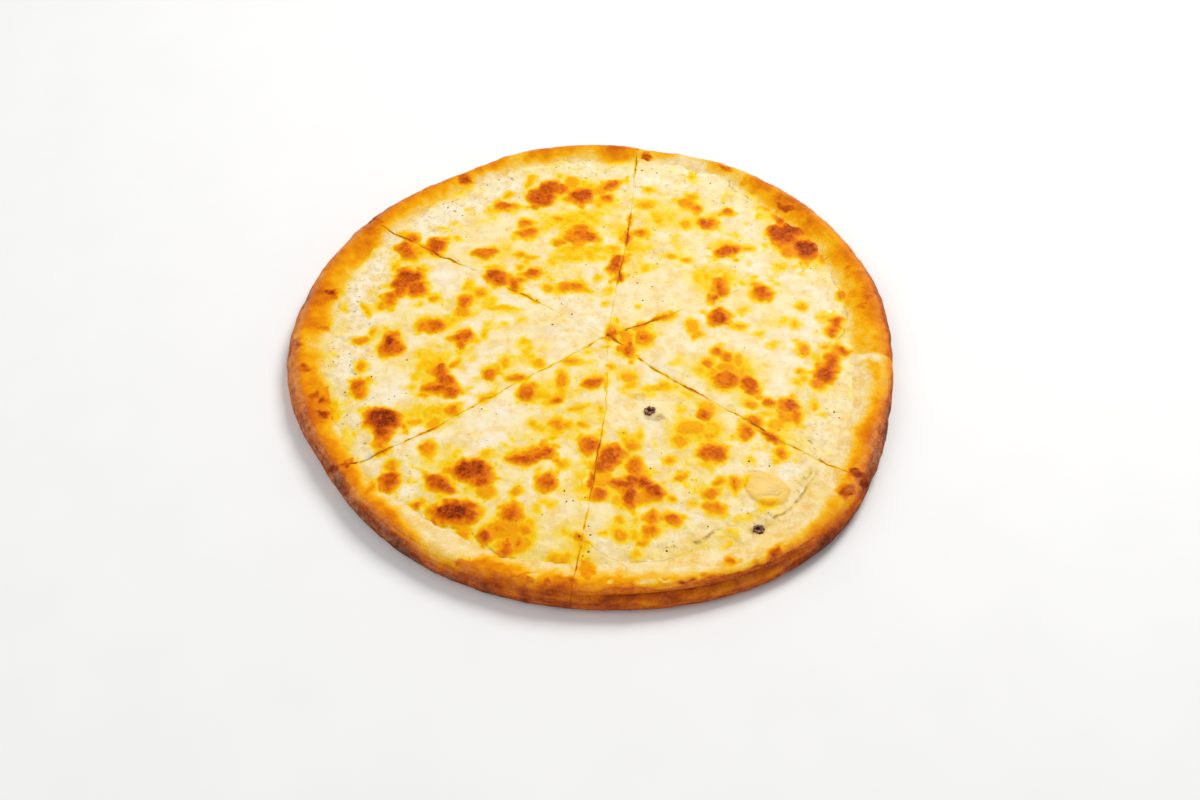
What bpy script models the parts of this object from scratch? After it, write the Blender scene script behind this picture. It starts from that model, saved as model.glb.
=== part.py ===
"""A round white cheese pizza, baked, cut into six slices that still lie together.

Metres, +Z up. The origin is under the middle of the pizza's box, to within half a millimetre, on
the surface that it rests on.
+Y points from the front of the pizza, where the crust is folded, to its back.

Each slice is two solids: the crust, with the raised rim, and the layer of melted cheese that lies
in it. Both are wedges cut from one turned round that is pushed out of true like hand-made dough.
"""

import math

import bmesh
import bpy
from mathutils import Vector, noise

MM = 0.001
WELD = 0.001 * MM  # points of a drawn shape closer than this are one point

# The turned rounds, before they are pushed out of true.
RIM_RADIUS = 148 * MM
FLOOR_RADIUS = 129 * MM  # where the floor ends and the rim starts to rise
STEADY_RADIUS = 100 * MM  # inside this the uneven outline has no effect
STEPS_ROUND = 120

# Heights above the surface that the pizza rests on.
FLOOR_HEIGHT = 7.6 * MM
CREST_HEIGHT = 12.4 * MM
BELLY_HEIGHT = 5.2 * MM  # the widest part of the rim
CREST_INSET = 8.0 * MM
SOLE_INSET = 4.5 * MM  # how far the foot of the rim is tucked under
FLOOR_RINGS = (0, 22, 48, 74, 98, 114)  # mm from the middle, shared by crust and cheese
SOLE_RINGS = (112, 60, 0)  # mm from the middle
SLOPE_STEPS = 4
ROLL_STEPS = 8
FOOT_STEPS = 3

# Melted cheese.
CHEESE_THICKNESS = 2.4 * MM
CHEESE_EDGE_THICKNESS = 0.9 * MM
CHEESE_ROUNDING = ((6 * MM, 0.1 * MM), (2 * MM, 0.7 * MM))  # in from its edge, and below its top
LAYER_GAP = 0.35 * MM
RIM_CLEARANCE = 1.0 * MM

# Hand-made unevenness, every 15 degrees from +X, anticlockwise.
OUTLINE = (148.8, 151.3, 152.1, 152.6, 152.1, 148.4, 148.5, 147.0, 144.1, 145.2, 147.1, 147.4,
           148.3, 146.5, 142.8, 144.0, 146.0, 146.9, 148.7, 151.9, 155.5, 156.6, 152.0, 148.3)
CHEESE_EDGE = (126, 131, 134, 135, 138, 136, 133, 132, 130, 129, 129, 130,
               129, 128, 129, 129, 127, 130, 129, 130, 136, 134, 130, 130)
CREST = (12.4, 12.6, 12.8, 12.6, 11.6, 11.4, 12.6, 12.6, 12.2, 12.6, 12.8, 12.6,
         12.6, 12.8, 12.6, 12.8, 12.4, 13.0, 12.8, 13.6, 13.2, 12.8, 12.6, 11.8)
WAVE_SIZE = 34 * MM
WAVE_HEIGHT = 0.7 * MM
WAVE_SLICE = 3.7  # which level of the noise gives the waves

# The fold in the front of the rim: a crease that runs down along the outside, under a lip of dough.
FOLD_START = 268  # degrees anticlockwise from +X
FOLD_END = 304
FOLD_DEPTH = 3.6 * MM
FOLD_HEIGHT = 9.2 * MM
FOLD_HALF_HEIGHT = 1.1 * MM
FOLD_RUN = 2.6 * MM  # how much lower it ends than it starts

# Knife cuts: they cross a little off the middle. For each, the angle at which it leaves the rim, and
# how far its line bows to the left of the straight one, in mm, at every quarter of the way there.
CROSSING = Vector((8.9 * MM, 3.2 * MM))
CUTS = (
    (25.5, (0, -0.9, -1.0, -0.8, 0)),
    (79.8, (0, -0.8, -1.9, -1.1, 0)),
    (143.5, (0, 0, 0.1, 1.3, 0.8)),
    (214.8, (0, 1.0, 1.8, 2.6, -0.4)),
    (267.3, (0, 3.3, 2.8, 1.2, -0.8)),
    (325.0, (0, -3.3, -2.5, -2.2, 0.3)),
)
CUT_STEPS = 12  # straight stretches along a cut, from the crossing to the rim
KERF = 0.6 * MM
BLADE_REACH = 220 * MM
BLADE_HALF_HEIGHT = 30 * MM

# What stands out of the layer on one slice: place, half sizes, how high its middle is over the
# layer's top, its turn in degrees and its roughness. The first is a blown bubble, the others are
# crumbs of blue cheese.
LUMPS = (
    (80.5 * MM, -90.0 * MM, (12.0 * MM, 10.4 * MM, 1.8 * MM), -0.3 * MM, 20, 0.03),
    (28.5 * MM, -45.0 * MM, (2.9 * MM, 2.3 * MM, 1.5 * MM), 0.1 * MM, 35, 0.2),
    (74.5 * MM, -111.0 * MM, (3.2 * MM, 2.5 * MM, 1.6 * MM), 0.1 * MM, 115, 0.2),
)
LUMP_SLICE = 5
LUMP_SIDES = 20
LUMP_GRAIN = 0.7  # half sizes of the lump to one bump of its roughness


def clear_scene():
    for obj in list(bpy.data.objects):
        bpy.data.objects.remove(obj, do_unlink=True)


def new_collection(name):
    collection = bpy.data.collections.new(name)
    bpy.context.scene.collection.children.link(collection)
    return collection


def finish(name, colour, roughness):
    """A plain food finish, with no metal in it."""
    material = bpy.data.materials.new(name)
    material.use_nodes = True
    shader = material.node_tree.nodes["Principled BSDF"]
    shader.inputs["Base Color"].default_value = (*colour, 1)
    shader.inputs["Roughness"].default_value = roughness
    shader.inputs["Metallic"].default_value = 0
    return material


def smooth(before, here, after, beyond, t):
    """A curve from here to after, as t goes from 0 to 1, that heads for their neighbours."""
    slope_here = (after - before) / 2
    slope_after = (beyond - here) / 2
    return (
        (2 * t**3 - 3 * t**2 + 1) * here
        + (t**3 - 2 * t**2 + t) * slope_here
        + (3 * t**2 - 2 * t**3) * after
        + (t**3 - t**2) * slope_after
    )


def around(values, angle):
    """A smooth closed curve through values, which are spaced evenly round the circle."""
    place = (math.degrees(angle) % 360) / 360 * len(values)
    first = int(place)
    return smooth(*(values[(first + k) % len(values)] for k in (-1, 0, 1, 2)), place - first)


def along(values, share):
    """A smooth open curve through values, which are spaced evenly from share 0 to 1."""
    last = len(values) - 1
    place = min(1, share) * last
    first = min(int(place), last - 1)
    return smooth(*(values[min(last, max(0, first + k))] for k in (-1, 0, 1, 2)), place - first)


def ease(t):
    """0 to 1 with level ends."""
    t = min(1, max(0, t))
    return t * t * (3 - 2 * t)


def crust_section():
    """(radius, height) from the middle of the floor, over the rim, to the middle of the sole."""
    points = [(ring * MM, FLOOR_HEIGHT) for ring in FLOOR_RINGS]
    slope = RIM_RADIUS - CREST_INSET - FLOOR_RADIUS
    for step in range(SLOPE_STEPS):
        share = step / SLOPE_STEPS
        points.append((FLOOR_RADIUS + slope * share,
                       FLOOR_HEIGHT + (CREST_HEIGHT - FLOOR_HEIGHT) * ease(share)))
    for step in range(ROLL_STEPS):  # the roll of the rim, a quarter ellipse
        turn = math.pi / 2 * (1 - step / ROLL_STEPS)
        points.append((RIM_RADIUS - CREST_INSET * (1 - math.cos(turn)),
                       BELLY_HEIGHT + (CREST_HEIGHT - BELLY_HEIGHT) * math.sin(turn)))
    for step in range(FOOT_STEPS + 1):  # the tucked foot, another
        turn = math.pi / 2 * step / FOOT_STEPS
        points.append((RIM_RADIUS - SOLE_INSET * (1 - math.cos(turn)),
                       BELLY_HEIGHT * (1 - math.sin(turn))))
    points += [(ring * MM, 0) for ring in SOLE_RINGS]
    return points


def cheese_section():
    """(radius, height) from the middle of the layer's top, over its edge, to the middle underneath."""
    edge = FLOOR_RADIUS - RIM_CLEARANCE
    bottom = FLOOR_HEIGHT + LAYER_GAP
    top = bottom + CHEESE_THICKNESS
    points = [(ring * MM, top) for ring in FLOOR_RINGS]
    points += [(edge - inset, top - drop) for inset, drop in CHEESE_ROUNDING]
    points += [(edge, bottom + CHEESE_EDGE_THICKNESS), (edge, bottom)]
    points += [(ring * MM, bottom) for ring in reversed(FLOOR_RINGS)]
    return points


def turned(name, section):
    """A closed mesh turned round Z from a section that starts and ends on the axis."""
    mesh = bpy.data.meshes.new(name + "_section")
    points = [(radius, 0, height) for radius, height in section]
    mesh.from_pydata(points, [(k, k + 1) for k in range(len(points) - 1)], [])
    blank = bpy.data.objects.new(name, mesh)
    bpy.context.scene.collection.objects.link(blank)
    screw = blank.modifiers.new("turn", "SCREW")
    screw.steps = screw.render_steps = STEPS_ROUND
    screw.use_merge_vertices = True
    screw.merge_threshold = WELD
    return welded(blank)


def welded(drawn):
    """The closed mesh of an object as it is drawn, in triangles. The object is removed."""
    graph = bpy.context.evaluated_depsgraph_get()
    mesh = bpy.data.meshes.new_from_object(drawn.evaluated_get(graph))
    mesh.name = drawn.name
    bpy.data.objects.remove(drawn)
    shape = bmesh.new()
    shape.from_mesh(mesh)
    bmesh.ops.remove_doubles(shape, verts=shape.verts, dist=WELD)
    bmesh.ops.triangulate(shape, faces=shape.faces)
    bmesh.ops.recalc_face_normals(shape, faces=shape.faces)
    shape.to_mesh(mesh)
    shape.free()
    return mesh


def uneven_radius(radius, angle):
    """Where a point of the turned round goes, so that the rim and the cheese get their own outlines."""
    outline = around(OUTLINE, angle) * MM
    floor = around(CHEESE_EDGE, angle) * MM + RIM_CLEARANCE
    if radius <= STEADY_RADIUS:
        return radius
    if radius <= FLOOR_RADIUS:
        share = (radius - STEADY_RADIUS) / (FLOOR_RADIUS - STEADY_RADIUS)
        return STEADY_RADIUS + share * (floor - STEADY_RADIUS)
    share = (radius - FLOOR_RADIUS) / (RIM_RADIUS - FLOOR_RADIUS)
    return floor + share * (outline - floor)


def wave(x, y):
    """The slow rise and fall of the baked dough."""
    return WAVE_HEIGHT * noise.noise((x / WAVE_SIZE, y / WAVE_SIZE, WAVE_SLICE))


def fold(angle, height):
    """How far the crease in the front of the rim takes a point of its side in and up."""
    share = (math.degrees(angle) % 360 - FOLD_START) / (FOLD_END - FOLD_START)
    if not 0 < share < 1:
        return 0, 0
    strength = math.sin(math.pi * share) ** 0.5
    inward = strength * FOLD_DEPTH * math.exp(-((height - FOLD_HEIGHT) / FOLD_HALF_HEIGHT) ** 2)
    side = math.sin(math.pi * min(1, height / CREST_HEIGHT))
    return inward, strength * FOLD_RUN * (0.5 - share) * side


def push_out_of_true(mesh, is_cheese):
    """Gives a turned round the outline, crest and waves of hand-made food. The sole stays flat."""
    for vertex in mesh.vertices:
        x, y, z = vertex.co
        angle = math.atan2(y, x)
        turned_radius = math.hypot(x, y)
        radius = uneven_radius(turned_radius, angle)
        if turned_radius > RIM_RADIUS - CREST_INSET:
            inward, upward = fold(angle, z)
            radius -= inward
            z += upward
        if z > FLOOR_HEIGHT and not is_cheese:
            rise = (around(CREST, angle) * MM - FLOOR_HEIGHT) / (CREST_HEIGHT - FLOOR_HEIGHT)
            z = FLOOR_HEIGHT + (z - FLOOR_HEIGHT) * rise
        x, y = radius * math.cos(angle), radius * math.sin(angle)
        vertex.co = (x, y, z + wave(x, y) * ease(z / FLOOR_HEIGHT))


def way_of_cut(end):
    """The direction of a cut from the crossing, and how far off it leaves the rim."""
    angle = math.radians(end)
    way = Vector((math.cos(angle), math.sin(angle))) * around(OUTLINE, angle) * MM - CROSSING
    return way.normalized(), way.length


def side_of_wedge(cut, inward):
    """Points along a cut, from near the crossing to past the rim, half a kerf to one side of it."""
    end, bows = cut
    way, length = way_of_cut(end)
    left = Vector((-way.y, way.x))
    points = []
    for step in range(1, CUT_STEPS + 1):
        share = step / CUT_STEPS
        offset = along(bows, share) * MM + inward * KERF / 2
        points.append(way * length * share + left * offset)
    points.append(way * BLADE_REACH + left * offset)
    return points


def blade_wedge(name, first, second, collection):
    """The space between two cuts, as a prism whose faces stand half a kerf inside them."""
    from_way, to_way = way_of_cut(first[0])[0], way_of_cut(second[0])[0]
    bisector = (from_way + to_way).normalized()
    setback = KERF / 2 / math.sin(from_way.angle(to_way) / 2)
    sides = side_of_wedge(first, 1), side_of_wedge(second, -1)
    corners = [bisector * setback] + sides[0] + sides[1][::-1]
    outline = bpy.data.curves.new(name, "CURVE")
    outline.dimensions = "2D"
    outline.fill_mode = "BOTH"
    outline.extrude = BLADE_HALF_HEIGHT
    spline = outline.splines.new("POLY")
    spline.points.add(len(corners) - 1)
    for point, corner in zip(spline.points, corners):
        point.co = (*corner, 0, 1)
    spline.use_cyclic_u = True
    drawn = bpy.data.objects.new(name, outline)
    bpy.context.scene.collection.objects.link(drawn)
    wedge = bpy.data.objects.new(name, welded(drawn))
    wedge.hide_render = True
    wedge.display_type = "WIRE"
    collection.objects.link(wedge)
    return wedge


def cut_slice(name, mesh, wedge, collection):
    """One wedge of a round, whose mesh the other slices share."""
    piece = bpy.data.objects.new(name, mesh)
    collection.objects.link(piece)
    cut = piece.modifiers.new("knife_cuts", "BOOLEAN")
    cut.operation = "INTERSECT"
    cut.solver = "EXACT"
    cut.object = wedge
    return piece


def lump(name, place, half_sizes, turn, roughness):
    """A round lump, whose place is its middle."""
    shape = bmesh.new()
    bmesh.ops.create_uvsphere(shape, u_segments=LUMP_SIDES, v_segments=LUMP_SIDES // 2, radius=1)
    for vertex in shape.verts:
        vertex.co *= 1 + roughness * noise.noise(vertex.co / LUMP_GRAIN)
    bmesh.ops.scale(shape, vec=half_sizes, verts=shape.verts)
    mesh = bpy.data.meshes.new(name)
    shape.to_mesh(mesh)
    shape.free()
    made = bpy.data.objects.new(name, mesh)
    made.location = place
    made.rotation_euler.z = math.radians(turn)
    return made


def fuse_lumps(layer):
    """Joins the bubble and the crumbs onto a slice's layer, sunk to about half their height."""
    top = FLOOR_HEIGHT + LAYER_GAP + CHEESE_THICKNESS
    lumps = bpy.data.collections.new("lumps")
    bpy.context.scene.collection.children.link(lumps)
    for number, (x, y, half_sizes, rise, turn, roughness) in enumerate(LUMPS):
        place = (x, y, top + wave(x, y) + rise)
        lumps.objects.link(lump(f"lump_{number}", place, half_sizes, turn, roughness))
    join = layer.modifiers.new("lumps", "BOOLEAN")
    join.operation = "UNION"
    join.solver = "EXACT"
    join.operand_type = "COLLECTION"
    join.collection = lumps
    graph = bpy.context.evaluated_depsgraph_get()
    fused = bpy.data.meshes.new_from_object(layer.evaluated_get(graph))
    layer.modifiers.clear()
    layer.data = fused
    for made in list(lumps.objects):
        bpy.data.objects.remove(made)
    bpy.data.collections.remove(lumps)


def build_pizza():
    clear_scene()
    pizza = new_collection("pizza")
    cutters = new_collection("cutters")
    crust = turned("crust_round", crust_section())
    cheese = turned("cheese_round", cheese_section())
    push_out_of_true(crust, is_cheese=False)
    push_out_of_true(cheese, is_cheese=True)
    crust.shade_smooth()
    cheese.shade_smooth()
    crust.materials.append(finish("baked_crust", (0.80, 0.47, 0.16), 0.75))
    cheese.materials.append(finish("melted_cheese", (0.95, 0.84, 0.58), 0.45))

    for number, first in enumerate(CUTS, 1):
        wedge = blade_wedge(f"wedge_{number}", first, CUTS[number % len(CUTS)], cutters)
        wedge.location = (*CROSSING, 0)
        cut_slice(f"crust_{number}", crust, wedge, pizza)
        layer = cut_slice(f"cheese_{number}", cheese, wedge, pizza)
        if number == LUMP_SLICE:
            fuse_lumps(layer)


build_pizza()
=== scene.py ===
"""The looks of a round white cheese pizza, baked and cut into six slices that still lie together.

Metres, +Z up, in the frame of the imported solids. Sizes are named in millimetres, and a mesh is
made metres when its points are placed. +Y points from the front of the pizza, where its rim is
folded, to its back. Angles go anticlockwise from +X, seen from above, and so do the slices, of
which the first is the one at the back right.
"""

import math

import bmesh
import bpy
import numpy as np
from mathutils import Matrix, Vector, noise


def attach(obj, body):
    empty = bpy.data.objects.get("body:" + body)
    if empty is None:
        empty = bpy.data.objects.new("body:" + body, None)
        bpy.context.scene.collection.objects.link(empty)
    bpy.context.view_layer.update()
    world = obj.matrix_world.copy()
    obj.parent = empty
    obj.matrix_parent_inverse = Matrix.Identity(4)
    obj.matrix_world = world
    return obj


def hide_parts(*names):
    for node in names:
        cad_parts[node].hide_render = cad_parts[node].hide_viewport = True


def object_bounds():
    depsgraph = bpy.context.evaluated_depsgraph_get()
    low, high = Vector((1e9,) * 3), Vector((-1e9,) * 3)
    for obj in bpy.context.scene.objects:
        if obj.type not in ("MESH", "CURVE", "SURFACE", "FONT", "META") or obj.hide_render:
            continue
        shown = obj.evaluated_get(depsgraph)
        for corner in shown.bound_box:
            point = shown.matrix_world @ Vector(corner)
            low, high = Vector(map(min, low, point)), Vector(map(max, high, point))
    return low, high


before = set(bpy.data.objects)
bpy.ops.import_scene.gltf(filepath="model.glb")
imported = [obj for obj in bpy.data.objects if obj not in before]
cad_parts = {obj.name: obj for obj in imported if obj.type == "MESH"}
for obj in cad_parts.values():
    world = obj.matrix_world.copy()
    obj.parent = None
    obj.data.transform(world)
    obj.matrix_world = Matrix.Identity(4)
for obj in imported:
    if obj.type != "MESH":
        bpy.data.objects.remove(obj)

SOLIDS_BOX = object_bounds()

MM = 0.001
RIGHT_END = SOLIDS_BOX[1][0] / MM - 0.02  # the looks stay this far inside the solids' box, in mm

# The pizza's own sizes in mm, the same as the solids have.
RIM_RADIUS = 148
FLOOR_RADIUS = 129  # where the floor of the dough ends and the rim starts to rise
STEADY_RADIUS = 100  # inside this the uneven outline has no effect
FLOOR_HEIGHT = 7.6
CREST_HEIGHT = 12.4
BELLY_HEIGHT = 5.2  # the widest part of the rim
CREST_INSET = 8.0
SOLE_INSET = 4.5  # how far the foot of the rim is tucked under
RIM_CLEARANCE = 1.0  # from the edge of the cheese to the end of that floor
CHEESE_TOP = 10.35
CHEESE_UNDERSIDE = 7.95

# Unevenness, listed every 15 degrees from +X, anticlockwise.
OUTLINE = (148.8, 151.3, 152.1, 152.6, 152.1, 148.4, 148.5, 147.0, 144.1, 145.2, 147.1, 147.4,
           148.3, 146.5, 142.8, 144.0, 146.0, 146.9, 148.7, 151.9, 155.5, 156.6, 152.0, 148.3)
CHEESE_EDGE = (126, 131, 134, 135, 138, 136, 133, 132, 130, 129, 129, 130,
               129, 128, 129, 129, 127, 130, 129, 130, 136, 134, 130, 130)
CREST = (12.4, 12.6, 12.8, 12.6, 11.6, 11.4, 12.6, 12.6, 12.2, 12.6, 12.8, 12.6,
         12.6, 12.8, 12.6, 12.8, 12.4, 13.0, 12.8, 13.6, 13.2, 12.8, 12.6, 11.8)
WAVE_SIZE = 34
WAVE_HEIGHT = 0.7
WAVE_SLICE = 3.7  # which level of the noise gives the waves

# The crease in the front of the rim: from and to which angle, and its place on the side.
FOLD_START = 268
FOLD_END = 304
FOLD_DEPTH = 3.6
FOLD_HEIGHT = 9.2
FOLD_HALF_HEIGHT = 1.1
FOLD_RUN = 2.6  # how much lower it ends than it starts

# Knife cuts, which cross a little off the middle. For each, the angle at which it leaves the rim,
# and how far its line bows to the left of the straight one, in mm, at every quarter of the way.
CROSSING = np.array((8.9, 3.2))
CUT_LENGTH = 140  # roughly, from the crossing to the rim
CUTS = (
    (25.5, (0, -0.9, -1.0, -0.8, 0)),
    (79.8, (0, -0.8, -1.9, -1.1, 0)),
    (143.5, (0, 0, 0.1, 1.3, 0.8)),
    (214.8, (0, 1.0, 1.8, 2.6, -0.4)),
    (267.3, (0, 3.3, 2.8, 1.2, -0.8)),
    (325.0, (0, -3.3, -2.5, -2.2, 0.3)),
)

# How wide each cut stands open, in mm, at every tenth of the way from the crossing to the rim.
CUT_GAPS = (
    (0.6, 0.45, 0.35, 0.05, 0.03, 0.03, 0.02, 0.02, 0.03, 0.1, 0.25),
    (0.05, 0.06, 0.0, 0.4, 0.12, 0.4, 0.4, 0.0, 0.06, 0.35, 0.4),
    (0.05, 0.0, 0.0, 0.35, 0.35, 0.0, 0.3, 0.5, 0.45, 0.3, 0.4),
    (0.2, 0.12, 0.12, 0.15, 0.2, 0.35, 0.32, 0.36, 0.4, 0.4, 0.5),
    (0.1, 0.0, 0.0, 0.03, 0.08, 0.35, 0.3, 0.04, 0.12, 0.2, 0.3),
    (0.35, 0.35, 0.4, 0.25, 0.35, 0.05, 0.45, 0.12, 0.2, 0.2, 0.45),
)

# Painted shade along each cut, in toast colours, at every tenth from the crossing to the rim.
CUT_TINT_SHADES = (
    (0.9, 0.85, 0.7, 0.2, 0.05, 0.05, 0.05, 0.1, 0.15, 0.2, 0.4),
    (0.5, 0.3, 0.0, 0.9, 0.5, 0.95, 0.85, 0.0, 0.1, 0.6, 0.8),
    (0.4, 0.0, 0.05, 0.65, 0.9, 0.1, 0.0, 1.0, 1.05, 0.8, 0.9),
    (0.5, 0.4, 0.45, 0.4, 0.5, 0.6, 0.55, 0.6, 0.7, 0.8, 0.95),
    (0.5, 0.1, 0.1, 0.25, 0.45, 0.85, 0.7, 0.1, 0.5, 0.7, 0.8),
    (0.8, 0.85, 0.85, 0.6, 0.9, 0.2, 0.9, 0.95, 0.5, 0.6, 0.9),
)

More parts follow.
